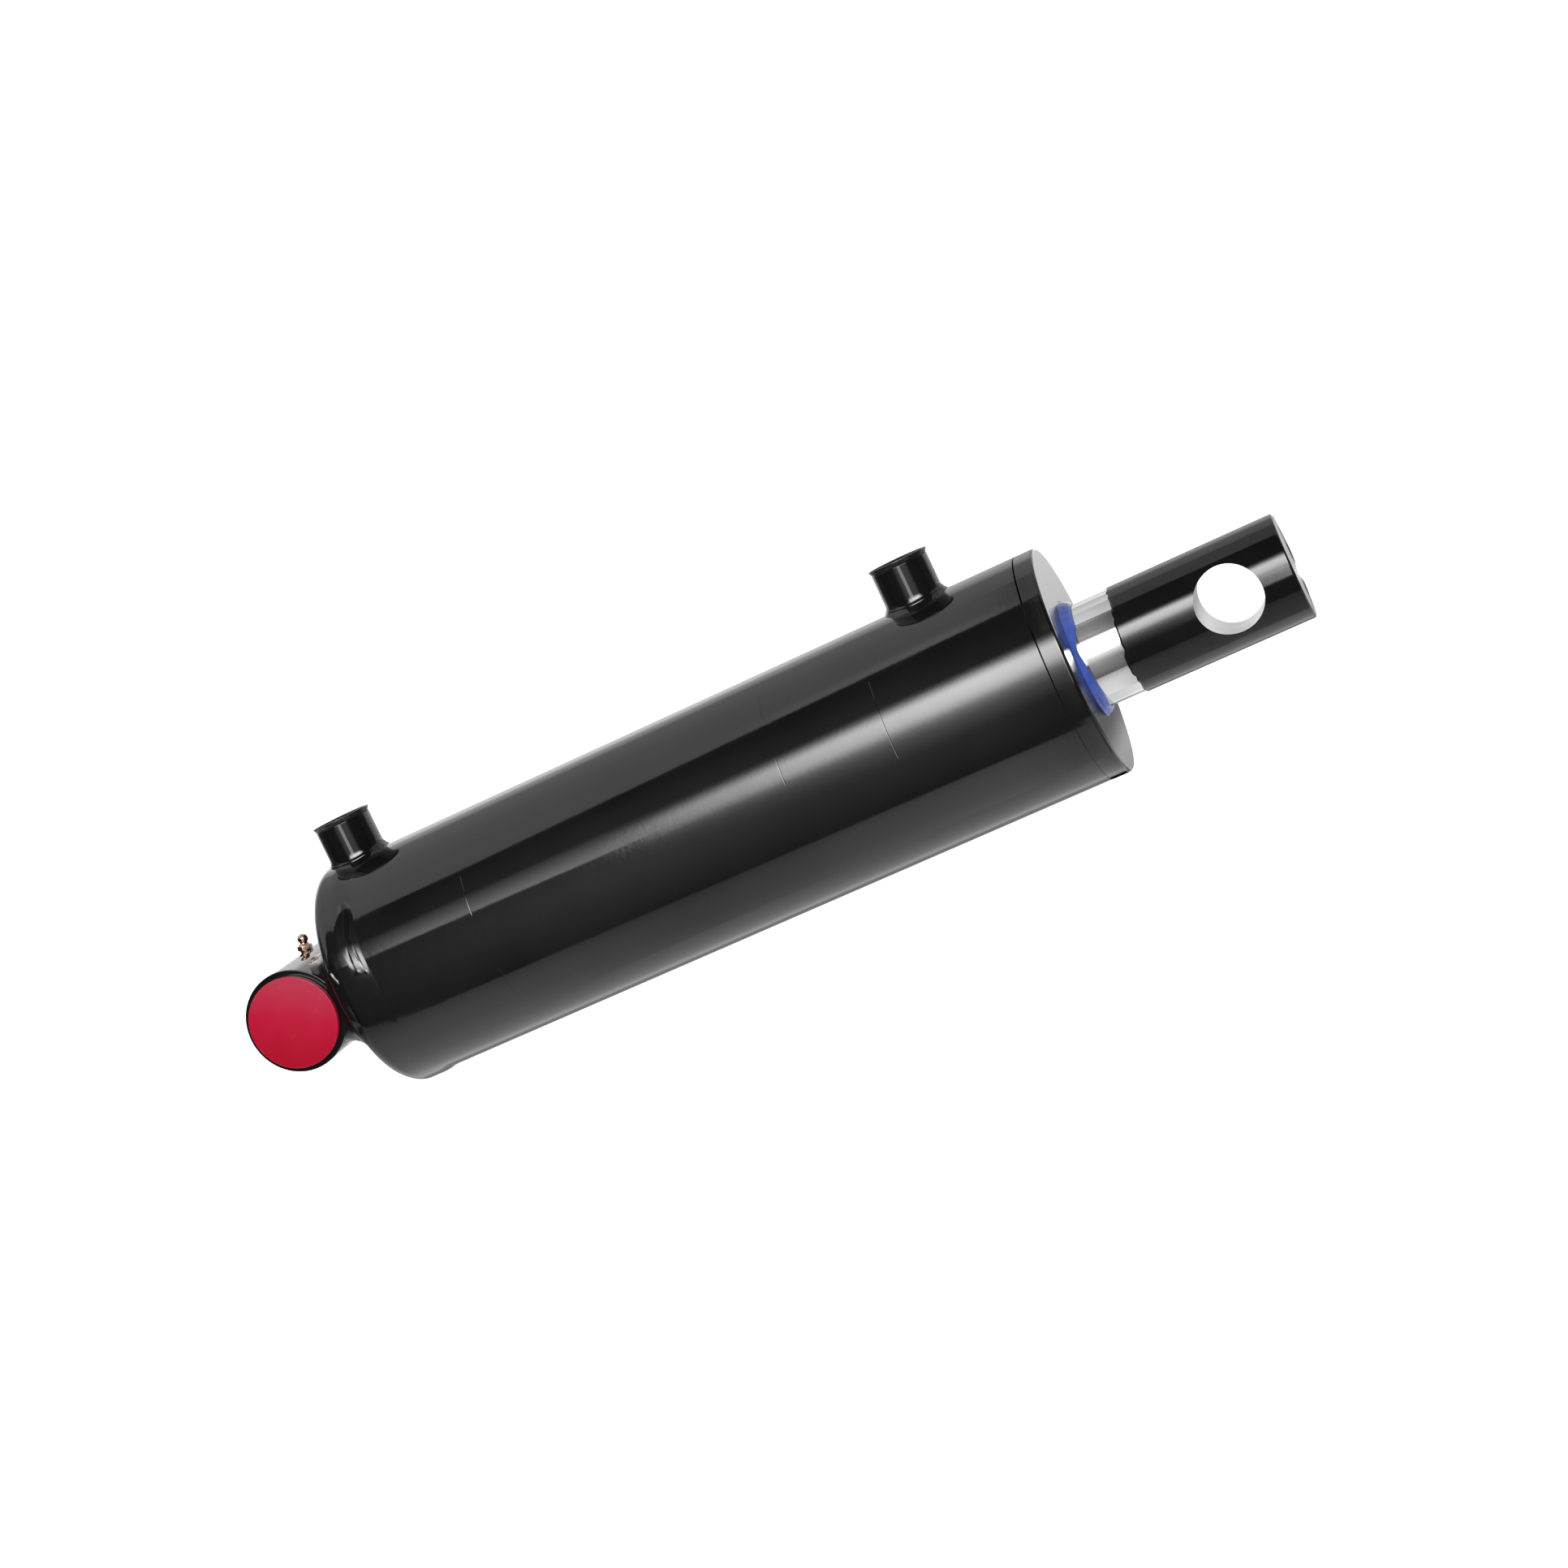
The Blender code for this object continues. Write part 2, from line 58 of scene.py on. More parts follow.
X, Y, Z = 0, 1, 2
TUBE_R = high("barrel_tube", Z)
TUBE_REAR = low("barrel_tube", X)
TUBE_FRONT = high("barrel_tube", X)
TUBE_WALL = 5.0
BORE_R = TUBE_R - TUBE_WALL
CAP_REAR = low("base_cap", X)
CAP_FRONT = high("base_cap", X)
CAP_R = high("base_cap", Z)
CAP_ROUND = 5.5
GLAND_NOSE = low("gland", X)
GLAND_FACE = high("gland", X)
ROD_R = high("piston_rod", Z)
ROD_START = low("piston_rod", X)
EYE_R = high("rod_eye", Z)
EYE_START = low("rod_eye", X)
EYE_END = high("rod_eye", X)
CROSS_R = high("cross_tube", Z)
CROSS_HALF = high("cross_tube", Y)
PORT_X = {end: (low("port_boss_" + end, X) + high("port_boss_" + end, X)) / 2.0
          for end in ("base", "head")}
PORT_R = (high("port_boss_head", X) - low("port_boss_head", X)) / 2.0
PORT_TOP = high("port_boss_head", Z)
# Sizes of the CAD that its boxes don't tell.
EYE_HOLE_X = 386.3
PIN_R = 12.75
PORT_BORE_R = 8.3
FITTING_TILT = math.radians(12.0)


# ---- Mesh helpers -----------------------------------------------------------------------------
def smooth_step(value):
    value = np.clip(value, 0.0, 1.0)
    return value * value * (3.0 - 2.0 * value)


def window(angle, start, end, soft):
    """1 between two angles in radians, fading over soft at each side."""
    return smooth_step((angle - start) / soft) * smooth_step((end - angle) / soft)


def lump(value, centre, width):
    return np.exp(-((value - centre) / width) ** 2)


def rounded(corners, steps):
    """(height, radius) points through (height, radius, fillet) corners, each fillet as an arc."""
    points = []
    for index, (height, radius, fillet) in enumerate(corners):
        if fillet <= 0.0 or index in (0, len(corners) - 1):
            points.append((height, radius))
            continue
        here = np.array((height, radius))
        back = np.array(corners[index - 1][:2]) - here
        ahead = np.array(corners[index + 1][:2]) - here
        back /= np.linalg.norm(back)
        ahead /= np.linalg.norm(ahead)
        half = math.acos(float(np.clip(back @ ahead, -1.0, 1.0))) / 2.0
        middle = back + ahead
        centre = here + middle / np.linalg.norm(middle) * (fillet / math.sin(half))
        first = here + back * (fillet / math.tan(half)) - centre
        last = here + ahead * (fillet / math.tan(half)) - centre
        turn = math.pi - 2.0 * half
        for step in range(steps + 1):
            share = step / steps
            arm = (first * math.sin((1.0 - share) * turn) + last * math.sin(share * turn))
            points.append(tuple(centre + arm / math.sin(turn)))
    return points


AXES = {
    "X": ((1, 0, 0), (0, -1, 0), (0, 0, 1)),
    "Y": ((0, 1, 0), (1, 0, 0), (0, 0, 1)),
    "-Y": ((0, -1, 0), (1, 0, 0), (0, 0, 1)),
    "Z": ((0, 0, 1), (0, -1, 0), (1, 0, 0)),
}


def grid_mesh(name, heights, radii, angles, axis, centre, ring):
    """A mesh from rows of heights, radii and angles round an axis. A row of radius 0 is a pole."""
    along, first, second = (np.array(vector, float) for vector in AXES[axis])
    rows, count = heights.shape
    vertices, index_rows = [], []
    for row in range(rows):
        if np.all(radii[row] < 1e-6):
            index_rows.append([len(vertices)] * count)
            vertices.append(along * heights[row, 0] + np.array(centre, float))
            continue
        start = len(vertices)
        points = (along * heights[row][:, None]
                  + first * (radii[row] * np.cos(angles[row]))[:, None]
                  + second * (radii[row] * np.sin(angles[row]))[:, None]
                  + np.array(centre, float))
        vertices.extend(points)
        index_rows.append(list(range(start, start + count)))
    faces = []
    last = rows if ring else rows - 1
    for row in range(last):
        here, there = index_rows[row], index_rows[(row + 1) % rows]
        for step in range(count):
            after = (step + 1) % count
            corner = [here[step], here[after], there[after], there[step]]
            face = [item for place, item in enumerate(corner) if item not in corner[:place]]
            if len(face) > 2:
                faces.append(face)
    mesh = bpy.data.meshes.new(name)
    mesh.from_pydata([tuple(point * MM) for point in vertices], [], faces)
    bm = bmesh.new()
    bm.from_mesh(mesh)
    bmesh.ops.recalc_face_normals(bm, faces=bm.faces)
    bm.to_mesh(mesh)
    bm.free()
    return mesh


def turned(name, profile, axis="X", centre=(0, 0, 0), segments=192, warp=None, ring=False):
    """Turn a (height, radius) profile. A ring closes on itself; another ends on the axis."""
    points = list(profile)
    if not ring:
        points = [(points[0][0], 0.0)] + points + [(points[-1][0], 0.0)]
    heights = np.repeat(np.array([point[0] for point in points], float)[:, None], segments, 1)
    radii = np.repeat(np.array([point[1] for point in points], float)[:, None], segments, 1)
    angles = np.repeat((np.arange(segments) * TAU / segments)[None, :], len(points), 0)
    if warp:
        heights, radii = warp(heights, radii, angles)
    return grid_mesh(name, heights, radii, angles, axis, centre, ring)


def evaluated(piece):
    depsgraph = bpy.context.evaluated_depsgraph_get()
    depsgraph.update()
    mesh = bpy.data.meshes.new_from_object(piece.evaluated_get(depsgraph))
    bpy.data.objects.remove(piece, do_unlink=True)
    return mesh


def temporary(mesh):
    piece = bpy.data.objects.new("temporary", mesh)
    bpy.context.scene.collection.objects.link(piece)
    return piece


def carved(mesh, *cutters, operation="DIFFERENCE"):
    """The mesh after each cutter mesh is taken away from it, or joined to it."""
    piece = temporary(mesh)
    tools = [temporary(cutter) for cutter in cutters]
    for tool in tools:
        modifier = piece.modifiers.new("Cut", "BOOLEAN")
        modifier.operation = operation
        modifier.solver = "EXACT"
        modifier.object = tool
    result = evaluated(piece)
    for tool in tools:
        bpy.data.objects.remove(tool, do_unlink=True)
    return result


def cylinder(radius, length, axis, centre, segments, tilt=0.0):
    mesh = bpy.data.meshes.new("cutter")
    bm = bmesh.new()
    bmesh.ops.create_cone(bm, cap_ends=True, segments=segments, radius1=radius * MM,
                          radius2=radius * MM, depth=length * MM)
    turn = {"X": Matrix.Rotation(math.pi / 2.0, 4, "Y"),
            "Y": Matrix.Rotation(math.pi / 2.0, 4, "X"), "Z": Matrix.Identity(4)}[axis]
    place = Matrix.Translation(Vector(centre) * MM) @ Matrix.Rotation(tilt, 4, "Y") @ turn
    bmesh.ops.transform(bm, matrix=place, verts=bm.verts)
    bm.to_mesh(mesh)
    bm.free()
    return mesh


def block(low_corner, high_corner):
    mesh = bpy.data.meshes.new("cutter")
    bm = bmesh.new()
    bmesh.ops.create_cube(bm, size=1.0)
    size = [(b - a) * MM for a, b in zip(low_corner, high_corner)]
    middle = [(a + b) / 2.0 * MM for a, b in zip(low_corner, high_corner)]
    bmesh.ops.scale(bm, vec=size, verts=bm.verts)
    bmesh.ops.translate(bm, vec=middle, verts=bm.verts)
    bm.to_mesh(mesh)
    bm.free()
    return mesh


def add_piece(name, mesh, materials, body, slot_name, *nodes, sharp=32.0, weighted=True):
    """Show a finished mesh, riding on a body and standing for CAD nodes."""
    mesh.name = name
    # Clearing the materials resets the faces' choice among them.
    chosen = [face.material_index for face in mesh.polygons] if len(materials) > 1 else []
    mesh.materials.clear()
    for material in materials:
        mesh.materials.append(material)
    for face, index in zip(mesh.polygons, chosen):
        face.material_index = index
    if sharp:
        mesh.shade_smooth()
        mesh.set_sharp_from_angle(angle=math.radians(sharp))
    piece = bpy.data.objects.new(name, mesh)
    bpy.context.scene.collection.objects.link(piece)
    if weighted:
        normals = piece.modifiers.new("Normals", "WEIGHTED_NORMAL")
        normals.keep_sharp = True
        normals.weight = 80
    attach(piece, body)
    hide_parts(*nodes)


# ---- Materials --------------------------------------------------------------------------------
class Shader:
    """A material under construction, with short calls for the nodes used here."""

    def __init__(self, name, **sockets):
        self.material = bpy.data.materials.new(name)
        self.material.use_nodes = True
        self.tree = self.material.node_tree
        self.surface = self.tree.nodes["Principled BSDF"]
        for socket, value in sockets.items():
            self.surface.inputs[socket.replace("_", " ")].default_value = value
        self.place = self.tree.nodes.new("ShaderNodeTexCoord").outputs["Object"]

    def feed(self, socket, value):
        if isinstance(value, (int, float, tuple)):
            socket.default_value = value
        else:
            self.tree.links.new(value, socket)

    def math(self, operation, first, second=0.0):
        node = self.tree.nodes.new("ShaderNodeMath")
        node.operation = operation
        for socket, value in zip(node.inputs, (first, second)):
            self.feed(socket, value)
        return node.outputs[0]

    def noise(self, scale, detail=3.0, roughness=0.5, stretch=None):
        node = self.tree.nodes.new("ShaderNodeTexNoise")
        node.inputs["Scale"].default_value = scale
        node.inputs["Detail"].default_value = detail
        node.inputs["Roughness"].default_value = roughness
        self.feed(node.inputs["Vector"], self.stretched(stretch) if stretch else self.place)
        return node.outputs["Fac"]

    def stretched(self, factors):
        node = self.tree.nodes.new("ShaderNodeMapping")
        node.inputs["Scale"].default_value = factors
        self.feed(node.inputs["Vector"], self.place)
        return node.outputs["Vector"]

    def split(self):
        node = self.tree.nodes.new("ShaderNodeSeparateXYZ")
        self.feed(node.inputs[0], self.place)
        return node.outputs

    def between(self, value, from_low, from_high, to_low, to_high, smooth=False):
        node = self.tree.nodes.new("ShaderNodeMapRange")
        node.interpolation_type = "SMOOTHSTEP" if smooth else "LINEAR"
        for socket, item in zip(node.inputs, (value, from_low, from_high, to_low, to_high)):
            self.feed(socket, item)
        return node.outputs[0]

    def colours(self, value, *stops):
        node = self.tree.nodes.new("ShaderNodeValToRGB")
        ramp = node.color_ramp
        while len(ramp.elements) < len(stops):
            ramp.elements.new(0.5)
        for element, (position, colour) in zip(ramp.elements, stops):
            element.position = position
            element.color = (*colour, 1.0)
        self.feed(node.inputs["Fac"], value)
        return node.outputs["Color"]

    def mix(self, share, first, second):
        node = self.tree.nodes.new("ShaderNodeMix")
        node.data_type = "RGBA"
        self.feed(node.inputs[0], share)
        self.feed(node.inputs[6], first)
        self.feed(node.inputs[7], second)
        return node.outputs[2]

    def bump(self, height, distance, under=None):
        node = self.tree.nodes.new("ShaderNodeBump")
        node.inputs["Strength"].default_value = 1.0
        node.inputs["Distance"].default_value = distance
        self.feed(node.inputs["Height"], height)
        if under is not None:
            self.feed(node.inputs["Normal"], under)
        return node.outputs["Normal"]

    def set(self, **sockets):
        for socket, value in sockets.items():
            self.feed(self.surface.inputs[socket.replace("_", " ")], value)
        return self


def enamel():
    """Glossy black paint over steel: faint orange peel, slow waves and a little dust."""
    made = Shader("black_paint_finish", IOR=1.5)
    cloud = made.noise(35.0, 4.0)
    dust = made.noise(2600.0, 2.0)
    tint = made.colours(cloud, (0.3, (0.0030, 0.0030, 0.0034)), (0.7, (0.0046, 0.0045, 0.0047)))
    speck = made.between(dust, 0.66, 0.76, 0.0, 0.2, smooth=True)
    peel_bump = made.bump(made.noise(650.0, 2.0, 0.4), 0.000006)
    wave_bump = made.bump(made.noise(70.0, 1.0), 0.00002, under=peel_bump)
    made.set(Base_Color=made.mix(speck, tint, (0.010, 0.010, 0.011, 1.0)),
             Roughness=made.between(cloud, 0.3, 0.7, 0.045, 0.075),
             Normal=wave_bump)
    return made.material


def chrome():
    """Ground and plated rod: a mirror with the finest lines round it."""
    made = Shader("hard_chrome_finish", Metallic=0.93)
    cloud = made.noise(30.0, 3.0)
    lines = made.noise(1.0, 3.0, 0.6, stretch=(9000.0, 60.0, 60.0))
    tint = made.colours(cloud, (0.3, (0.640, 0.642, 0.646)), (0.7, (0.680, 0.680, 0.682)))
    made.set(Base_Color=tint,
             Roughness=made.between(lines, 0.3, 0.7, 0.035, 0.065),
             Normal=made.bump(lines, 0.0000006))
    return made.material


def machined(name, tone, roughness, centre=(0.0, 0.0), across="x", pitch=0.00035, painted_shade_below_wiper=False):
    """Bare steel with the rings a facing tool leaves round the axis named by across. It is duller
    than a mirror at a grazing angle. It may carry a painted shade below the wiper."""
    made = Shader(name, Metallic=1.0)
    x, y, z = made.split()
    first, second = {"x": (y, z), "y": (x, z)}[across]
    first = made.math("SUBTRACT", first, centre[0])
    second = made.math("SUBTRACT", second, centre[1])
    radius = made.math("SQRT", made.math("ADD", made.math("MULTIPLY", first, first),
                                         made.math("MULTIPLY", second, second)))
    wobble = made.math("MULTIPLY", made.noise(400.0, 2.0), pitch * 0.7)
    rings = made.math("SINE", made.math("MULTIPLY", made.math("ADD", radius, wobble), TAU / pitch))
    cloud = made.noise(90.0, 4.0)
    shade = tuple(tone * factor for factor in (0.995, 1.0, 1.0))
    dark = tuple(tone * factor for factor in (0.90, 0.90, 0.89))
    steel = made.colours(cloud, (0.3, dark), (0.65, shade))
    edge = (0.62, 0.62, 0.62, 1.0)
    # Painted shade: a band below the wiper where the colour and edge tint turn dark, standing in for
    # the rod's dark reflection in the face.
    if painted_shade_below_wiper:
        under = made.between(z, -0.037, -0.022, 0.0, 1.0, smooth=True)
        over = made.between(z, -0.018, -0.004, 1.0, 0.0, smooth=True)
        painted_shade_band = made.math("MULTIPLY", under, over)
        steel = made.mix(painted_shade_band, steel, (0.12, 0.12, 0.125, 1.0))
        edge = made.mix(painted_shade_band, edge, (0.2, 0.2, 0.21, 1.0))
    made.set(Base_Color=steel, Specular_Tint=edge,
             Roughness=made.between(cloud, 0.3, 0.7, roughness - 0.03, roughness + 0.05),
             Normal=made.bump(rings, 0.0000022))
    return made.material


def moulded(name, dark, light, roughness, grain=0.000012, **sockets):
    """Moulded plastic or rubber with a fine grain and a slow change of colour."""
    made = Shader(name, **sockets)
    cloud = made.noise(120.0, 3.0)
    fine = made.noise(1500.0, 2.0)
    made.set(Base_Color=made.colours(cloud, (0.3, dark), (0.7, light)),
             Roughness=made.between(cloud, 0.3, 0.7, roughness - 0.03, roughness + 0.04),
             Normal=made.bump(fine, grain))
    return made.material


def red_plastic():
    """Red plastic with a painted sheen: paler and pinker towards +X and up across each plug."""
    made = Shader("red_plastic_finish", Specular_IOR_Level=0.15)
    x, _, z = made.split()
    cloud = made.math("MULTIPLY", made.noise(120.0, 3.0), 0.12)
    # Painted sheen: this slant lightens the red towards +X and up, where light catches the plug
    # face.
    slant = made.math("ADD", made.math("MULTIPLY", x, 14.0), made.math("MULTIPLY", z, 24.0))
    place = made.math("ADD", made.math("ADD", slant, cloud), 0.42)
    tint = made.colours(place, (0.1, (0.188, 0.0010, 0.0095)), (0.5, (0.222, 0.0035, 0.016)),
                        (0.95, (0.225, 0.0176, 0.036)))
    made.set(Base_Color=tint, Roughness=made.between(cloud, 0.04, 0.08, 0.21, 0.28),
             Normal=made.bump(made.noise(1500.0, 2.0), 0.000004))
    return made.material


def brass():
    made = Shader("brass_finish", Metallic=1.0)
    cloud = made.noise(450.0, 4.0)
    made.set(Base_Color=made.colours(cloud, (0.3, (0.32, 0.20, 0.14)), (0.7, (0.68, 0.50, 0.38))),
             Roughness=made.between(cloud, 0.3, 0.7, 0.16, 0.32),
             Normal=made.bump(cloud, 0.00003))
    return made.material


PAINT = enamel()
CHROME = chrome()
# The gland face carries a painted shade below the wiper, standing in for the rod's reflection.
FACE_STEEL = machined("gland_face_steel", tone=0.58, roughness=0.09, painted_shade_below_wiper=True)
EYE_STEEL = machined("eye_end_steel", tone=0.66, roughness=0.20)
BORE_STEEL = machined("eye_bore_steel", tone=0.56, roughness=0.20, centre=(EYE_HOLE_X * MM, 0.0),
                      across="y", pitch=0.0005)
BARE_STEEL = machined("turned_steel_finish", tone=0.56, roughness=0.30)
RED = red_plastic()
BLACK_PLASTIC = moulded("black_plastic_finish", (0.006, 0.006, 0.007), (0.010, 0.010, 0.011), 0.22)
BLUE = moulded("blue_polyurethane_finish", (0.020, 0.042, 0.190), (0.038, 0.070, 0.270), 0.20,
               grain=0.00001, Subsurface_Weight=0.2, Subsurface_Scale=0.0010)
RUBBER = moulded("black_rubber_finish", (0.010, 0.010, 0.010), (0.018, 0.018, 0.018), 0.48)
RESIN = moulded("guide_resin_finish", (0.15, 0.10, 0.055), (0.24, 0.17, 0.10), 0.48,
                grain=0.00003)
BRASS = brass()


# ---- Barrel, base cap and the weld between them -----------------------------------------------
# Scribed lines round the paint: position along the barrel and the stretches, in degrees, where
# each shows.
PAINT_LINES = (
    (85.5, ((11.0, 35.0), (-54.0, -15.0))),
    (216.0, ((41.0, 67.0), (7.0, 26.0))),
    (258.0, ((58.0, 67.0), (-4.0, 40.0), (-24.0, -19.0))),
)
# Half a line's width, and its depth.
LINE_HALF, LINE_DEPTH = 0.22, 0.035


def signed(angles):
    """Angles in radians brought to -pi..pi."""
    return (angles + math.pi) % TAU - math.pi


def read_round(table, angles, spread):
    """A table by angle in degrees, read round the circle with its corners softened."""
    degrees = np.degrees(signed(angles))
    places = np.array([point[0] for point in table], float)
    values = np.array([point[1] for point in table], float)
    shifts = np.linspace(-spread, spread, 5)
    return sum(np.interp((degrees + shift + 180.0) % 360.0 - 180.0, places, values)
               for shift in shifts) / len(shifts)


def make_barrel():
    end = TUBE_FRONT - 0.1
    corners = [(TUBE_REAR, BORE_R, 0), (TUBE_REAR, TUBE_R - 1.6, 0), (TUBE_REAR + 1.6, TUBE_R, 0)]
    for line_x, _ in PAINT_LINES:
        for offset in (-1.6, -1.0, 0.0, 1.0, 1.6):
            corners.append((line_x + offset * LINE_HALF, TUBE_R, 0))
    corners += [(end, TUBE_R, 0.16), (end, BORE_R + 1.0, 0), (end - 1.0, BORE_R, 0)]

    def scribe(heights, radii, angles):
        turn = signed(angles)
        for line_x, stretches in PAINT_LINES:
            shown = sum(window(turn, math.radians(a), math.radians(b), 0.06) for a, b in stretches)
            here = (np.abs(heights - line_x) < LINE_HALF * 0.5) & (radii > TUBE_R - 0.01)
            radii = np.where(here, radii - LINE_DEPTH * shown, radii)
        return heights, radii

    mesh = turned("barrel", rounded(corners, 4), segments=288, warp=scribe, ring=True)
    holes = [cylinder(4.5, 20.0, "Z", (x, 0.0, TUBE_R), 48) for x in PORT_X.values()]
    mesh = carved(mesh, *holes)
    add_piece("barrel_tube_shell", mesh, [PAINT], "barrel", "black_paint", "barrel_tube", sharp=8.0)


# Along the barrel: where the cap's extra radius starts to run down to the tube and where it ends,
# and the joint between the cap and the weld.
TAPER_START, TAPER_END = 30.4, 39.4
GROOVE_X = 28.6
# How much of the cap's extra radius shows, by angle round it in degrees.
CAP_BULGE = ((-180, 1.0), (-86, 1.0), (-66, 0.01), (6.5, 0.01), (12, 1.0), (180, 1.0))
# How far the start of the taper is pushed along the barrel, by angle round it in degrees.
TAPER_PUSH = ((-180, 0.0), (0, 2.4), (9, 2.4), (14, 1.4), (19, 0.4), (23, 0.0), (30, 0.0),
              (35, 0.9), (39, 1.2), (46, 0.4), (52, 0.0), (180, 0.0))


def taper(x):
    """Radius of the painted surface where the cap, a little larger, runs down to the tube."""
    share = smooth_step((np.asarray(x, float) - TAPER_START) / (TAPER_END - TAPER_START))
    return CAP_R - 0.02 + (TUBE_R + 0.01 - CAP_R) * share


def flattened(heights, radii, angles):
    """Take the cap's extra radius away where it doesn't show."""
    lost = (1.0 - read_round(CAP_BULGE, angles, 3.0)) * (taper(heights) - TUBE_R - 0.01)
    return np.where(radii > TUBE_R - 10.0, radii * (1.0 - lost / CAP_R), radii)


def make_base_cap():
    corners = [(CAP_REAR, 30.0, 0), (CAP_REAR, CAP_R - 0.02, CAP_ROUND), (27.4, CAP_R - 0.02, 0),
               (28.2, CAP_R - 0.02, 0), (GROOVE_X, float(taper(GROOVE_X)), 0),
               (GROOVE_X + 0.4, TUBE_R - 2.0, 0), (30.7, TUBE_R - 2.5, 0), (30.7, BORE_R - 0.3, 0),
               (CAP_FRONT - 3.0, BORE_R - 0.3, 0.4), (CAP_FRONT - 3.0, 15.0, 0),
               (CAP_FRONT, 14.0, 0.5), (CAP_FRONT, 5.0, 0)]

    def flatten(heights, radii, angles):
        return heights, flattened(heights, radii, angles)

    mesh = turned("base_cap_body", rounded(corners, 22), segments=480, warp=flatten)
    add_piece("base_cap_body", mesh, [PAINT], "barrel", "black_paint", "base_cap", weighted=False)


# Where the bead closes, two short grooves part it into three ridges: position and turn of each
# groove's middle, its slant, half-width in mm, reach in degrees, and depth.
GROOVES = ((33.0, 17.8, -0.12, 0.50, 4.2, 0.17), (35.9, 16.7, -0.05, 0.42, 4.4, 0.16))
# A drop stands below the end of each: position, turn, half-width in mm, reach in degrees, height.
BEAD_DROPS = ((32.9, 9.9, 0.8, 0.9, 0.16), (35.9, 8.6, 0.7, 0.8, 0.16))


def make_cap_weld():
    """The girth weld: dressed and painted over, with a knot where the bead closes."""
    reach = np.arange(GROOVE_X, TAPER_END + 0.05, 0.18)
    corners = [(GROOVE_X, TUBE_R - 1.0)] + [(x, float(taper(x))) for x in reach]
    corners += [(TAPER_END + 0.3, TUBE_R - 0.25)]

    def ripple(heights, radii, angles):
        share = np.clip((heights - GROOVE_X) / (TAPER_END - GROOVE_X), 0.0, 1.0)
        skin = radii > TUBE_R - 0.1
        turn = np.degrees(signed(angles))
        wander = 0.03 * np.sin(angles * 9.0 + 2.0) * np.sin(math.pi * share) ** 2
        wander = wander * read_round(CAP_BULGE, angles, 3.0)
        radii = flattened(heights, radii, angles) + np.where(skin, wander, 0.0)
        push = read_round(TAPER_PUSH, angles, 3.0) * np.sin(math.pi * share)
        for x, phi, slant, wide, tall, deep in GROOVES:
            line = x + slant * (phi - turn)
            radii = radii - deep * lump(heights, line, wide) * lump(turn, phi, tall) * skin
        for x, phi, wide, tall, high_by in BEAD_DROPS:
            radii = radii + high_by * lump(heights, x, wide) * lump(turn, phi, tall) * skin
        return heights + push, radii

    mesh = turned("girth", corners, segments=1800, warp=ripple, ring=True)
    add_piece("base_cap_weld_bead", mesh, [PAINT], "barrel", "black_paint", "base_cap_weld",
              sharp=60.0, weighted=False)


# ---- Cross tube, its weld, plugs and grease fitting -------------------------------------------
def make_cross_tube():
    corners = [(-CROSS_HALF, PIN_R, 0), (-CROSS_HALF, CROSS_R, 0.25), (CROSS_HALF, CROSS_R, 0.25),
               (CROSS_HALF, PIN_R, 0)]
    mesh = turned("cross", rounded(corners, 8), axis="Y", segments=288, ring=True)
    mesh = carved(mesh, cylinder(2.5, 20.0, "Z", (0.0, 0.0, CROSS_R), 48, FITTING_TILT))
    add_piece("cross_tube_body", mesh, [PAINT], "barrel", "black_paint", "cross_tube", sharp=20.0)


# Half-width along Y and half-height along Z of the filler weld at places along X, and the power of
# the rounded rectangle it makes there.
FILLER_X = (6.0, 8.0, 9.0, 10.0, 11.0, 12.0, 13.0, 14.8, 16.5, 17.8, 19.0, 19.9, 20.5, 21.0, 21.5,
            22.2, 23.0, 24.0, 26.0)
FILLER_Y = (37.7, 37.7, 37.7, 37.7, 37.7, 37.7, 37.7, 37.7, 37.8, 38.0, 38.4, 39.1, 40.2, 41.6,
            43.0, 44.1, 44.9, 45.4, 45.6)
FILLER_Z = (18.9, 18.3, 18.0, 17.8, 17.7, 17.75, 17.9, 18.4, 19.2, 20.2, 21.4, 22.6, 23.7, 24.9,
            26.2, 27.4, 28.0, 28.3, 28.5)
FILLER_POWER = ((6.0, 5.4), (19.5, 4.8), (21.5, 3.3), (26.0, 2.6))


def smooth_row(x, places, values):
    """A table read with rounded corners, so that the surface through it has no creases."""
    shifts = np.linspace(-0.55, 0.55, 9)
    return sum(np.interp(x + shift, places, values) for shift in shifts) / len(shifts)


def make_cross_tube_weld():
    """Filler between the cross tube and the cap: a hollow-sided web that flares onto the cap."""
    rows, segments = 120, 560
    x = np.linspace(FILLER_X[0], FILLER_X[-1], rows)
    turn = np.arange(segments) * TAU / segments
    cosine, sine = np.cos(turn), np.sin(turn)
    power = 2.0 / np.interp(x, *zip(*FILLER_POWER))[:, None]
    half_y = smooth_row(x, FILLER_X, FILLER_Y)[:, None]
    half_z = smooth_row(x, FILLER_X, FILLER_Z)[:, None]
    y = half_y * np.sign(cosine) * np.abs(cosine) ** power
    z = half_z * np.sign(sine) * np.abs(sine) ** power
    around = np.arctan2(z, y)
    swell = 1.0 + 0.0030 * np.sin(around * 19.0 + x[:, None] * 0.8) + 0.002 * np.sin(around * 43.0)
    radii = np.hypot(y, z) * swell
    heights = np.repeat(x[:, None], segments, 1)
    pole = np.zeros((1, segments))
    heights = np.vstack([heights[:1], heights, heights[-1:]])
    radii = np.vstack([pole, radii, pole])
    turns = np.vstack([around[:1], around, around[-1:]])
    mesh = grid_mesh("filler", heights, radii, turns + math.pi, "X", (0, 0, 0), False)
    add_piece("cross_tube_weld_bead", mesh, [PAINT], "barrel", "black_paint",
              "cross_tube_weld", sharp=60.0, weighted=False)


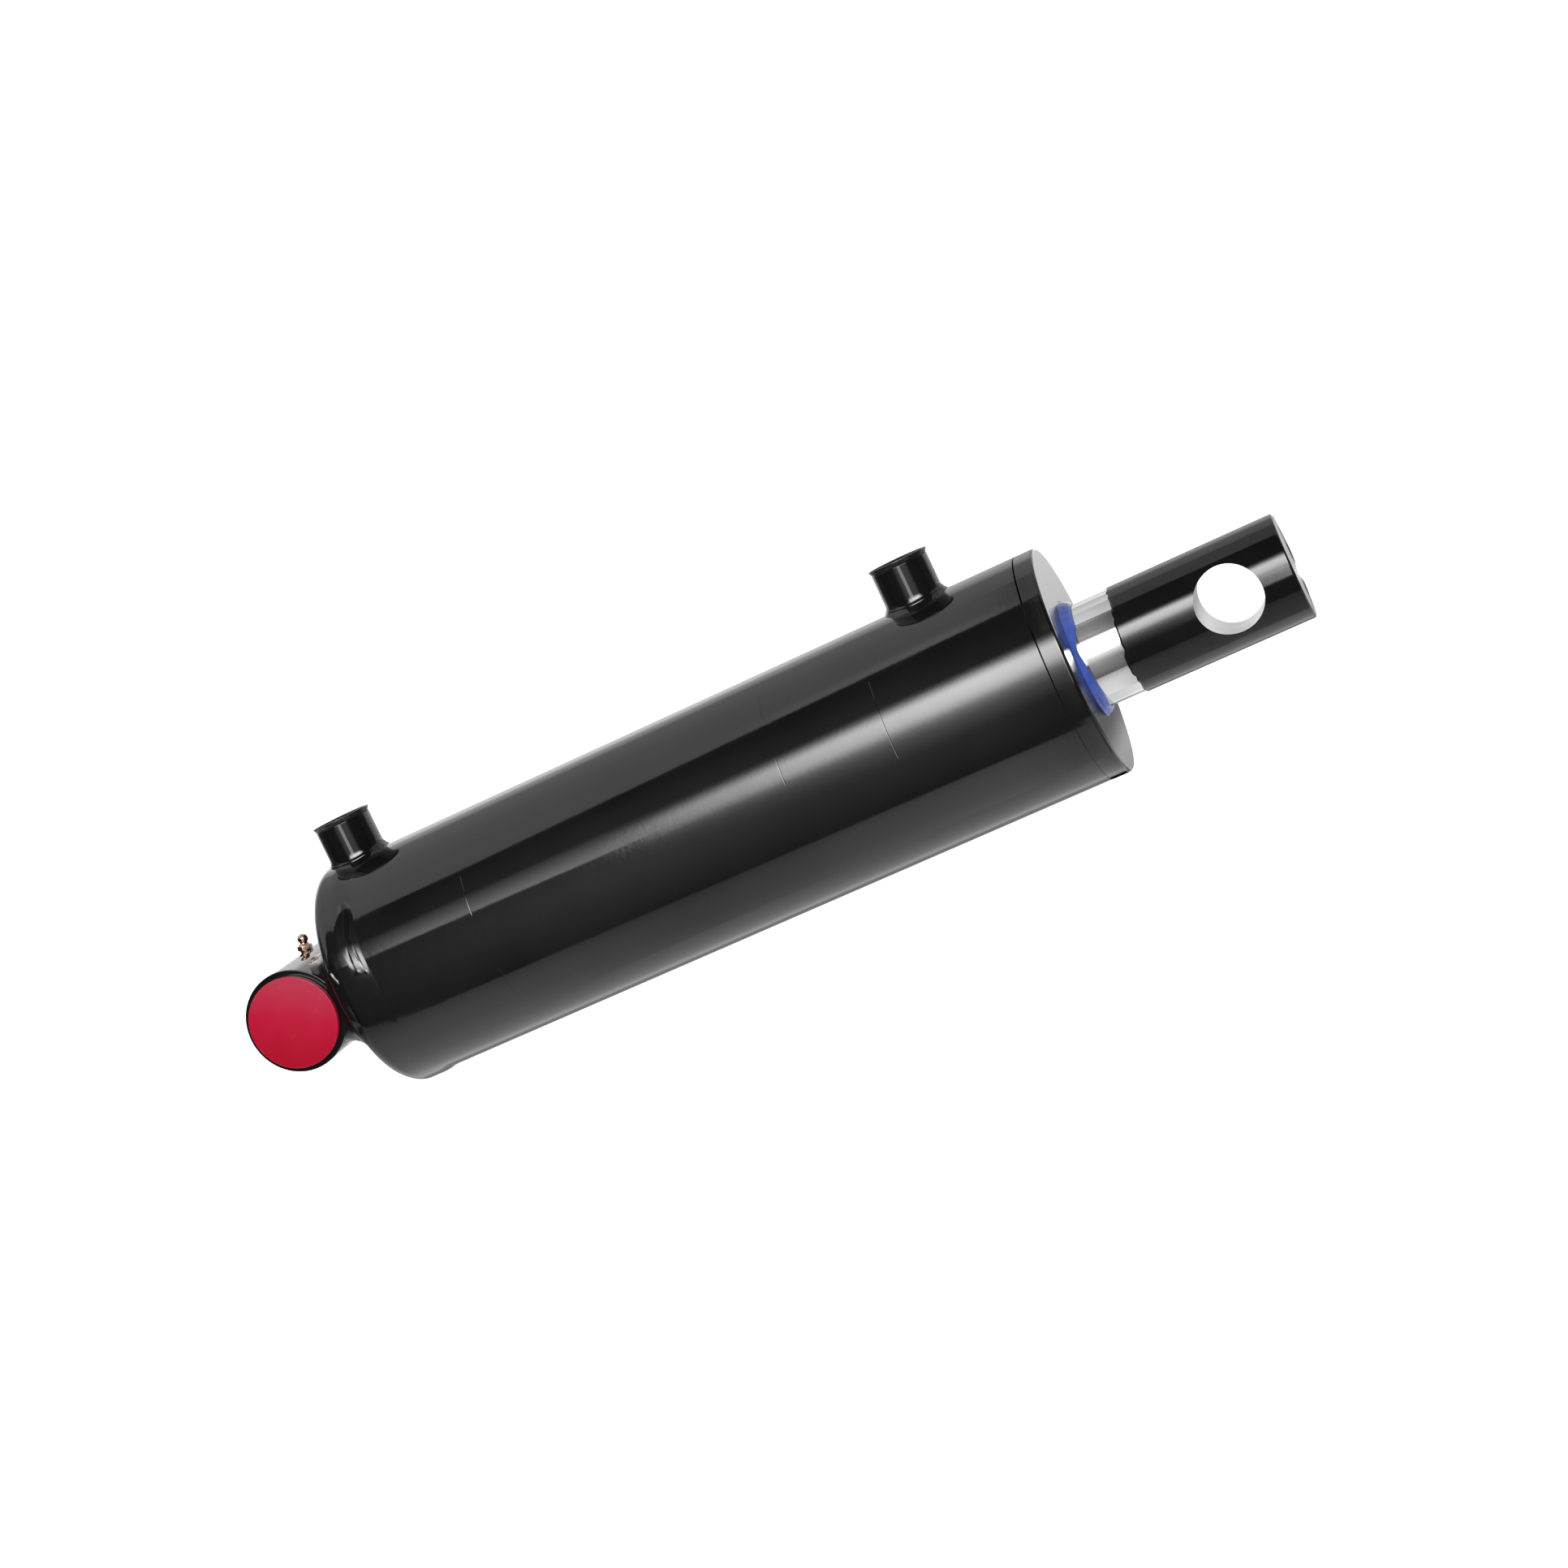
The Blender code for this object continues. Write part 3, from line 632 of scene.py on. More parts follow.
def make_bore_plugs():
    seat = CROSS_HALF + 0.3
    corners = [(seat - 8.3, 7.0, 0), (seat - 8.3, PIN_R - 0.6, 0.5),
               (seat - 7.0, PIN_R - 0.15, 0.4), (seat - 5.2, PIN_R - 0.3, 0.3),
               (seat - 4.0, PIN_R - 0.15, 0.3), (seat, PIN_R - 0.3, 0.2), (seat, 18.0, 0.4),
               (seat + 2.5, 18.0, 0.4), (seat + 2.5, 2.0, 0)]
    for side, axis in (("near", "-Y"), ("far", "Y")):
        mesh = turned("plug", rounded(corners, 6), axis=axis, segments=192)
        add_piece("bore_plug_%s_cap" % side, mesh, [RED], side + "_plug", "red_plastic",
                  "bore_plug_" + side)


def make_grease_fitting():
    """Threaded foot, hexagon with turned corners, waist and ball end."""
    corners = [(-4.8, 0.8, 0), (-4.8, 1.7, 0.2), (-4.2, 2.1, 0.2), (0.2, 2.1, 0.1), (0.3, 2.6, 0.1),
               (2.3, 2.6, 0.2), (2.7, 2.1, 0.2), (3.2, 1.55, 0.4), (3.7, 1.6, 0.2), (4.2, 2.1, 0.5),
               (5.4, 2.15, 0.7), (6.4, 1.6, 0.4), (6.8, 0.7, 0.15), (6.6, 0.4, 0.1), (6.5, 0.2, 0)]
    body = turned("fitting", rounded(corners, 4), axis="Z", segments=64)
    hexagon = bpy.data.meshes.new("hexagon")
    bm = bmesh.new()
    bmesh.ops.create_cone(bm, cap_ends=True, segments=6, radius1=3.1 * MM, radius2=3.1 * MM,
                          depth=1.8 * MM)
    bmesh.ops.translate(bm, verts=bm.verts, vec=(0.0, 0.0, 1.4 * MM))
    bmesh.ops.bevel(bm, geom=list(bm.edges), offset=0.22 * MM, segments=2, profile=0.5,
                    affect="EDGES")
    bm.to_mesh(hexagon)
    bm.free()
    mesh = carved(body, hexagon, operation="UNION")
    foot = Matrix.Translation((0.0, 0.0, CROSS_R * MM)) @ Matrix.Rotation(FITTING_TILT, 4, "Y")
    mesh.transform(foot)
    add_piece("grease_fitting_body", mesh, [BRASS], "barrel", "brass", "grease_fitting", sharp=35.0)


# ---- Oil ports --------------------------------------------------------------------------------
def saddle(radius, angles):
    """Height of the barrel's surface over a circle about a port's axis."""
    return np.sqrt(TUBE_R ** 2 - (radius * np.cos(angles)) ** 2)


THREAD_PITCH = 1.337


def make_ports():
    for end, port_x in PORT_X.items():
        centre = (port_x, 0.0, 0.0)
        inner = [(43.0, 4.5, 0), (50.0, 4.5, 0), (51.0, PORT_BORE_R - 0.9, 0)]
        height = 51.8
        while height < PORT_TOP - 1.6:
            inner += [(height, PORT_BORE_R - 0.8, 0), (height + 0.62, PORT_BORE_R - 0.05, 0)]
            height += THREAD_PITCH
        inner += [(PORT_TOP - 1.0, PORT_BORE_R, 0), (PORT_TOP, PORT_BORE_R + 0.9, 0)]
        outer = [(PORT_TOP, PORT_R, 0.35), (43.0, PORT_R, 0)]

        def sit(heights, radii, angles):
            floor = saddle(radii, angles) - 0.6
            return np.where(heights < 43.5, floor, heights), radii

        mesh = turned("boss", rounded(inner + outer, 5), axis="Z", centre=centre, segments=144,
                      warp=sit, ring=True)
        add_piece("port_boss_%s_body" % end, mesh, [PAINT], "barrel", "black_paint",
                  "port_boss_" + end)
        make_port_weld(end, centre)
        make_port_plug(end, centre)


def make_port_weld(end, centre):
    """Hollow-faced fillet between boss and barrel, rippled, its toe lying along the barrel."""
    rows, segments = 30, 540
    toe_r, top_r = 13.2, PORT_R + 0.04
    angles = np.repeat((np.arange(segments) * TAU / segments)[None, :], rows + 2, 0)
    share = np.repeat((np.arange(rows) / (rows - 1))[:, None], segments, 1)
    wander = 0.12 * np.sin(angles[:rows] * 5.0 + 1.0) + 0.06 * np.sin(angles[:rows] * 11.0)
    radii = toe_r + wander * (1.0 - share) + (top_r - toe_r) * (1.0 - (1.0 - share) ** 2.1)
    radii = radii + 0.10 * lump(share, 0.42, 0.06)
    leg = 3.6 + 1.1 * np.cos(angles[:rows]) ** 2
    heights = saddle(radii, angles[:rows]) - 0.05 + leg * share
    under_r = np.array([[top_r - 0.6], [toe_r - 0.8]]) * np.ones((2, segments))
    under = saddle(under_r, angles[:2]) - 0.7
    top_row = (heights[-1] - 0.2)[None, :]
    radii = np.vstack([radii, under_r[:1], under_r[:1], under_r[1:]])
    heights = np.vstack([heights, top_row, under[:1], under[1:]])
    angles = np.vstack([angles, angles[:1]])
    mesh = grid_mesh("port_weld", heights, radii, angles, "Z", centre, True)
    add_piece("port_weld_%s_bead" % end, mesh, [PAINT], "barrel", "black_paint",
              "port_weld_" + end, sharp=60.0, weighted=False)


def make_port_plug(end, centre):
    """Push-in plug: ribbed hollow shank and a cup-shaped head that flares to a thin rim."""
    seat = PORT_TOP + 0.08
    rim = high("port_plug_" + end, Z)
    rim_r, bore, neck, rib = 11.8, PORT_BORE_R - 2.2, PORT_BORE_R - 0.9, PORT_BORE_R - 0.35
    corners = [(seat - 7.3, bore, 0), (seat - 7.3, PORT_BORE_R - 1.0, 0.4),
               (seat - 5.8, neck, 0.2), (seat - 5.2, rib, 0.2), (seat - 4.6, neck, 0.2),
               (seat - 3.2, neck, 0.2), (seat - 2.6, rib, 0.2), (seat - 2.0, neck, 0.2),
               (seat, PORT_BORE_R - 0.6, 0.1), (seat, PORT_R - 0.05, 0.2),
               (seat + 0.5, PORT_R + 0.1, 0.6), (rim - 0.35, rim_r, 0.2), (rim, rim_r, 0.12),
               (rim, rim_r - 0.7, 0.2), (seat + 0.5, PORT_R - 0.9, 0.5), (seat + 0.45, bore, 0.5),
               (seat - 6.3, bore - 0.3, 0.4), (seat - 6.4, 1.0, 0)]
    mesh = turned("plug", rounded(corners, 4), axis="Z", centre=centre, segments=144)
    add_piece("port_plug_%s_cap" % end, mesh, [BLACK_PLASTIC], end + "_port_plug", "black_plastic",
              "port_plug_" + end)


# ---- Gland and wiper --------------------------------------------------------------------------
# How wide the joint between barrel and gland stands open, by angle round it in degrees.
SEAM_WIDTH = ((-180, 0.5), (-120, 0.5), (-96, 0.02), (-4, 0.02), (5, 0.24), (26, 0.34), (31, 0.05),
              (38, 0.05), (44, 0.5), (180, 0.5))


# The spanner slot at the bottom of the gland's rim: half-width, front end, depth, and its turn
# about the axis towards the near side.
SLOT_HALF, SLOT_END, SLOT_DEPTH = 5.5, 326.6, 2.4
SLOT_TURN = math.radians(-13.0)


def make_gland():
    body_r, nose_r, clear_r = BORE_R - 0.3, 29.0, ROD_R + 0.45
    collar = TUBE_FRONT - 0.05
    corners = [(GLAND_NOSE, clear_r, 0), (GLAND_NOSE, nose_r, 0.8), (287.0, nose_r, 0.8),
               (287.0, body_r, 0.6), (291.0, body_r, 0.2), (291.0, 36.6, 0.3), (297.5, 36.6, 0.3),
               (297.5, body_r, 0.2), (306.2, body_r, 0.2), (306.2, 38.0, 0), (309.8, 38.0, 0),
               (309.8, body_r, 0.2), (collar, body_r, 0), (collar, TUBE_R, 0.12),
               (GLAND_FACE, TUBE_R, 1.4), (GLAND_FACE, 23.05, 0.12), (GLAND_FACE - 1.05, 23.05, 0),
               (GLAND_FACE - 1.05, 24.2, 0), (321.0, 24.2, 0.2), (321.0, clear_r, 0.2),
               (309.0, clear_r, 0), (309.0, 25.3, 0), (302.0, 25.3, 0), (302.0, clear_r, 0),
               (290.0, clear_r, 0), (290.0, 22.9, 0), (270.0, 22.9, 0), (270.0, clear_r, 0)]

    def open_seam(heights, radii, angles):
        behind = (heights < collar + 0.5) & (radii > body_r + 0.01)
        return heights + behind * read_round(SEAM_WIDTH, angles, 2.0), radii

    mesh = turned("gland", rounded(corners, 7), segments=360, warp=open_seam, ring=True)
    slot_cut = block((collar - 1.0, -SLOT_HALF, -50.0), (SLOT_END, SLOT_HALF, SLOT_DEPTH - TUBE_R))
    slot_cut.transform(Matrix.Rotation(SLOT_TURN, 4, "X"))
    mesh = carved(mesh, slot_cut)

    for face in mesh.polygons:
        centre = face.center / MM
        bare = centre.x > GLAND_FACE - 0.35 or math.hypot(centre.y, centre.z) < TUBE_R - 0.5
        face.material_index = 1 if bare else 0
    add_piece("gland_body", mesh, [PAINT, FACE_STEEL], "barrel", "bare_steel", "gland", sharp=20.0)


# How far along the rod the wiper's lip reaches, by angle round it in degrees.
LIP_REACH = ((-180, 331.6), (-110, 331.4), (-77, 330.4), (-39, 331.3), (-14, 330.6), (9, 329.7),
             (18, 329.4), (28, 330.4), (38, 331.9), (79, 332.1), (120, 331.9), (180, 331.6))


def make_wiper():
    """Scraper ring: its soft lip stands on the rod with an uneven edge."""
    seat, foot = 321.3, GLAND_FACE - 0.3
    corners = [(seat, 21.2, 0), (seat, 24.15, 0.2), (foot - 0.9, 24.15, 0.2),
               (foot - 0.85, 22.95, 0.1), (foot + 0.28, 22.95, 0.2), (foot + 0.32, 22.7, 0.2),
               (foot + 1.1, 22.35, 0.7), (foot + 2.2, 22.0, 0.6), (foot + 3.2, 21.4, 0.7),
               (foot + 4.0, 20.4, 0.25), (foot + 3.9, 20.08, 0.05), (foot + 1.8, 20.08, 0.3),
               (foot - 0.6, 21.2, 0)]

    def uneven(heights, radii, angles):
        reach = smooth_step((heights - foot) / 4.0)
        tip = read_round(LIP_REACH, angles, 7.0) - (foot + 4.0)
        swell = 0.22 * np.sin(5.0 * angles + 1.0) + 0.12 * np.sin(11.0 * angles)
        fade = smooth_step((radii - 20.4) / 1.2) * smooth_step((heights - foot) / 2.0)
        return heights + reach * tip, radii + swell * fade

    mesh = turned("wiper", rounded(corners, 5), segments=360, warp=uneven, ring=True)
    add_piece("wiper_seal_lip", mesh, [BLUE], "barrel", "blue_polyurethane", "wiper_seal",
              sharp=60.0, weighted=False)


# ---- Rod and eye ------------------------------------------------------------------------------
# Where the rod ends inside the eye.
POCKET_END = 351.0
# Where the paint on the eye begins along the rod, by angle round it in degrees.
PAINT_EDGE = ((-180, 344.6), (-120, 345.6), (-70, 344.4), (-47, 344.7), (-31, 344.0),
              (-15, 343.7), (-2, 345.2), (12, 345.2), (30, 345.8), (50, 346.7), (88, 346.0),
              (130, 344.8), (180, 344.6))


def make_rod():
    corners = [(ROD_START, 6.0, 0), (ROD_START, 13.5, 0.9), (82.3, 13.5, 0), (82.3, ROD_R, 0.9),
               (POCKET_END - 0.3, ROD_R, 0.2), (POCKET_END - 0.3, 6.0, 0)]
    mesh = turned("rod", rounded(corners, 5), segments=192)
    add_piece("piston_rod_chromed", mesh, [CHROME], "rod", "hard_chrome", "piston_rod")


def paint_edge(angles):
    """Smooth closed curve through PAINT_EDGE with small scallops on it."""
    edge = read_round(PAINT_EDGE, angles, 6.0)
    scallop = np.abs(np.sin(angles * 10.5 + 0.5)) * 0.30 + 0.12 * np.sin(angles * 31.0)
    return edge - scallop


def make_rod_eye():
    corners = [(POCKET_END, 1.0, 0), (POCKET_END, ROD_R + 0.03, 0), (EYE_START, ROD_R + 0.03, 0),
               (EYE_START, ROD_R + 0.2, 0), (EYE_START + 0.25, EYE_R - 0.15, 0),
               (EYE_START + 0.7, EYE_R, 0), (POCKET_END + 1.0, EYE_R, 0), (EYE_END, EYE_R, 1.0),
               (EYE_END, EYE_R - 1.25, 0.1),
               (EYE_END - 0.45, EYE_R - 1.35, 0.1), (EYE_END - 0.45, 2.0, 0)]

    def wavy(heights, radii, angles):
        near = 1.0 - smooth_step((heights - EYE_START - 0.7) / 6.0)
        near = np.where(heights >= POCKET_END - 0.01, 0.0, near)
        return heights + near * (paint_edge(angles) - EYE_START), radii

    mesh = turned("eye", rounded(corners, 6), segments=240, warp=wavy)
    mesh = carved(mesh, cylinder(PIN_R, 60.0, "Y", (EYE_HOLE_X, 0.0, 0.0), 192))
    normals = []
    for face in mesh.polygons:
        centre = face.center / MM
        off_axis = math.hypot(centre.x - EYE_HOLE_X, centre.z)
        bore = off_axis < PIN_R + 0.02 and abs(face.normal.y) < 0.2
        round_r = math.hypot(centre.y, centre.z)
        side = abs(face.normal.x) < 0.02 and round_r > ROD_R + 0.3 and not bore
        end = centre.x > EYE_END - 0.5 and round_r < EYE_R - 1.15
        face.material_index = 2 if bore else 1 if end else 0
        face.use_smooth = True
        for loop in face.loop_indices:
            point = mesh.vertices[mesh.loops[loop].vertex_index].co / MM
            if bore:
                normal = Vector((EYE_HOLE_X - point.x, 0.0, -point.z))
            elif side:
                normal = Vector((0.0, point.y, point.z))
            else:
                normal = face.normal.copy()
            normals.append(normal.normalized())
    mesh.normals_split_custom_set(normals)
    add_piece("rod_eye_body", mesh, [PAINT, EYE_STEEL, BORE_STEEL], "rod", "black_paint", "rod_eye",
              sharp=0, weighted=False)


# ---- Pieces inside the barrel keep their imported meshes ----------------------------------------
def finish_inner_nodes():
    finishes = {
        "gland_o_ring": RUBBER, "gland_backup_ring": RESIN, "gland_retaining_wire": BARE_STEEL,
        "rod_wear_ring": RESIN, "rod_seal": BLUE, "piston": BARE_STEEL, "piston_o_ring": RUBBER,
        "piston_nut": BARE_STEEL, "piston_seal": BLUE, "piston_seal_energizer": RUBBER,
        "piston_wear_band_rear": RESIN, "piston_wear_band_front": RESIN,
    }
    for name, material in finishes.items():
        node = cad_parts[name]
        node.data.materials.clear()
        node.data.materials.append(material)


# ---- Studio -----------------------------------------------------------------------------------
# The studio is a set of soft boxes round the X axis. Rise is in degrees round that axis from the
# near horizon (-Y), over the top. Lean is how far a direction leans to +X for each unit across. A
# LEAN table dims a box by lean, an EDGE table gives its edge's rise by lean, most others go by rise.
TOP_PANEL = ((70, 1.15), (80, 1.15), (90, 1.05), (102, 0.98), (108, 0.90), (114, 0.85),
             (120, 0.80), (126, 0.76), (132, 0.66), (138, 0.62), (143, 1.0), (150, 1.05),
             (156, 0.95), (162, 0.75), (168, 0.7), (171, 1.2), (174, 1.5), (180, 1.6))
TOP_EDGE = ((-0.7, 48.0), (-0.49, 56.0), (-0.41, 66.5), (-0.378, 67.0), (-0.124, 81.5), (0.3, 81.5))
TOP_LEAN = ((-0.7, 1.0), (-0.15, 1.0), (-0.135, 0.58), (-0.131, 0.58), (-0.127, 0.8), (-0.118, 0.8),
            (-0.113, 0.58), (0.3, 0.58))
RIM_LIGHT = ((0, 0.6), (6, 0.5), (10, 0.1), (14, 0.0))
RIM_LEAN = ((-0.26, 0.0), (-0.22, 0.6), (-0.17, 1.0), (-0.15, 0.5), (-0.135, 0.0))
FRONT_FILL = ((-56, 0.05), (-46, 0.08), (-40, 0.14), (-34, 0.19), (-28, 0.24), (-22, 0.29),
              (-16, 0.36), (-10, 0.43), (-4, 0.48), (8, 0.50), (14, 0.45), (20, 0.40), (30, 0.30),
              (40, 0.22), (52, 0.15), (60, 0.08), (66, 0.04), (84, 0.02))
FILL_LEAN = ((-0.7, 0.02), (-0.445, 0.04), (-0.425, 0.3), (-0.395, 0.5), (-0.355, 0.75),
             (-0.32, 1.05), (-0.21, 0.95), (-0.16, 0.75), (-0.14, 0.45), (-0.11, 0.12),
             (-0.05, 0.04), (0.3, 0.03))
LONG_BOX = ((-16, 0.0), (-12, 0.007), (-8, 0.02), (0, 0.06), (4, 0.11), (8, 0.19), (10, 0.27),
            (12, 0.39), (14, 0.53), (16, 0.66), (18, 0.77), (20, 0.85), (24, 0.94), (28, 1.0),
            (30, 0.94), (32, 0.76), (34, 0.52), (36, 0.30), (38, 0.12), (40, 0.04), (42, 0.0))
LONG_LEAN = ((-0.7, 0.0), (-0.311, 0.0), (-0.3, 3.0), (-0.286, 5.4), (-0.257, 7.6),
             (-0.227, 10.8), (-0.188, 13.4), (-0.163, 15.4), (-0.13, 13.0), (-0.1, 14.5),
             (-0.05, 13.5), (0.0, 18.0), (0.5, 18.0), (0.8, 0.0))
LONG_SPREAD = ((-0.7, 1.35), (-0.286, 1.35), (-0.18, 1.0), (0.3, 1.0))
SHORT_BOX = ((18, 3.6), (20, 3.6), (24, 2.8), (26, 2.5), (28, 2.1), (30, 1.75), (32, 1.4),
             (34, 1.1), (36, 0.85), (38, 0.6), (42, 0.0))
SHORT_LEAN = ((-0.4215, 0.0), (-0.414, 1.0), (-0.311, 1.0), (-0.295, 0.0))
LOW_PANEL = ((-180, 1.4), (-177, 1.2), (-171, 0.55), (-166, 1.0), (-160, 0.6), (-155, 0.33),
             (-148, 0.45), (-144, 0.75), (-141, 1.2), (-137, 1.25), (-130, 1.05), (-110, 1.03),
             (-100, 1.0), (-90, 0.97), (-80, 0.92), (-70, 0.90), (-62, 0.84), (-58, 0.78),
             (-54, 0.68), (-46, 0.5))
LOW_EDGE = ((-0.7, -36.0), (-0.43, -40.0), (-0.41, -47.0), (-0.395, -48.0), (-0.145, -54.0),
            (-0.132, -54.0), (-0.128, -47.0), (0.3, -49.0))
LOW_LEAN = ((-0.7, 1.0), (-0.395, 1.05), (-0.355, 1.05), (-0.336, 0.9), (-0.286, 0.78),
            (-0.257, 0.85), (-0.227, 1.03), (-0.188, 1.15), (-0.163, 1.2), (-0.149, 0.95),
            (-0.14, 0.8), (-0.131, 0.75), (-0.127, 1.05), (-0.118, 1.05), (-0.113, 0.62),
            (-0.05, 0.5))
FAR_LEAN = ((-0.7, 1.0), (-0.131, 1.0), (-0.127, 0.8), (-0.118, 0.8), (-0.113, 1.0), (0.3, 1.0))
BACK_CARD = ((150, 0.0), (155, 0.5), (160, 0.7), (166, 0.5), (172, 0.0), (180, 0.0))
BACK_LEAN = ((-0.55, 1.0), (-0.24, 1.0), (-0.14, 0.15), (-0.13, 0.0))
ROD_FILL = ((-44, 0.0), (-41, 0.03), (-33, 0.12), (-25, 0.18), (-17, 0.27), (-9, 0.28), (-1, 0.2),
            (7, 0.1), (15, 0.0), (43, 0.3), (47, 0.5), (51, 0.35), (55, 0.29), (63, 0.26),
            (71, 0.24), (75, 0.3), (79, 0.5), (82, 0.1), (85, 0.0))
ROD_LEAN = ((-0.132, 0.0), (-0.128, 1.0), (-0.118, 1.0), (-0.114, 0.0))
PATCH_RISE = ((-12, 0.0), (-8, 4.0), (10, 4.0), (14, 0.0))
PATCH_LEAN = ((-0.08, 0.0), (-0.05, 1.0), (0.13, 1.0), (0.16, 0.0))
# Where the top panel and the low panel pass behind the part, in degrees.
TOP_FAR_RISE, LOW_FAR_RISE = 112.0, -100.0
# The long box spreads or shrinks below this rise.
LONG_CENTRE = 28.0
# The short box's lower edge: its rise at no lean, and its fall for each unit of lean.
SHORT_EDGE, SHORT_SLOPE = 12.7, 26.0
# Degrees over which a panel's edge fades.
EDGE_SOFT = 1.5
# Past the first lean the studio dims, down to SIDE_LEVEL at the second.
SIDE_LEAN = (1.2, 2.2)
SIDE_LEVEL = 0.1


class Studio:
    """Short calls for the math nodes of the world."""

    def __init__(self, tree):
        self.tree = tree

    def calc(self, operation, first, second=0.0, clamp=False):
        node = self.tree.nodes.new("ShaderNodeMath")
        node.operation = operation
        node.use_clamp = clamp
        for socket, value in zip(node.inputs, (first, second)):
            if isinstance(value, (int, float)):
                socket.default_value = value
            else:
                self.tree.links.new(value, socket)
        return node.outputs[0]

    def times(self, *values):
        total = values[0]
        for value in values[1:]:
            total = self.calc("MULTIPLY", total, value)
        return total

    def ramp(self, value, stops):
        """Read a row of (place, level) stops, which may be in any units, at a value."""
        places = [place for place, _ in stops]
        levels = [level for _, level in stops]
        base, scale = min(levels), max(levels) - min(levels)
        span = places[-1] - places[0]
        share = self.calc("DIVIDE", self.calc("SUBTRACT", value, places[0]), span, clamp=True)
        node = self.tree.nodes.new("ShaderNodeValToRGB")
        ramp = node.color_ramp
        while len(ramp.elements) < len(stops):
            ramp.elements.new(0.5)
        for element, (place, level) in zip(ramp.elements, stops):
            element.position = (place - places[0]) / span
            element.color = (*[(level - base) / scale] * 3, 1.0)
        self.tree.links.new(share, node.inputs["Fac"])
        return self.calc("ADD", self.calc("MULTIPLY", node.outputs["Color"], scale), base)

    def above(self, value, edge):
        """0 below an edge and 1 above it, over EDGE_SOFT degrees."""
        return self.calc("DIVIDE", self.calc("SUBTRACT", value, edge), EDGE_SOFT, clamp=True)

    def inverse(self, value):
        return self.calc("SUBTRACT", 1.0, value)


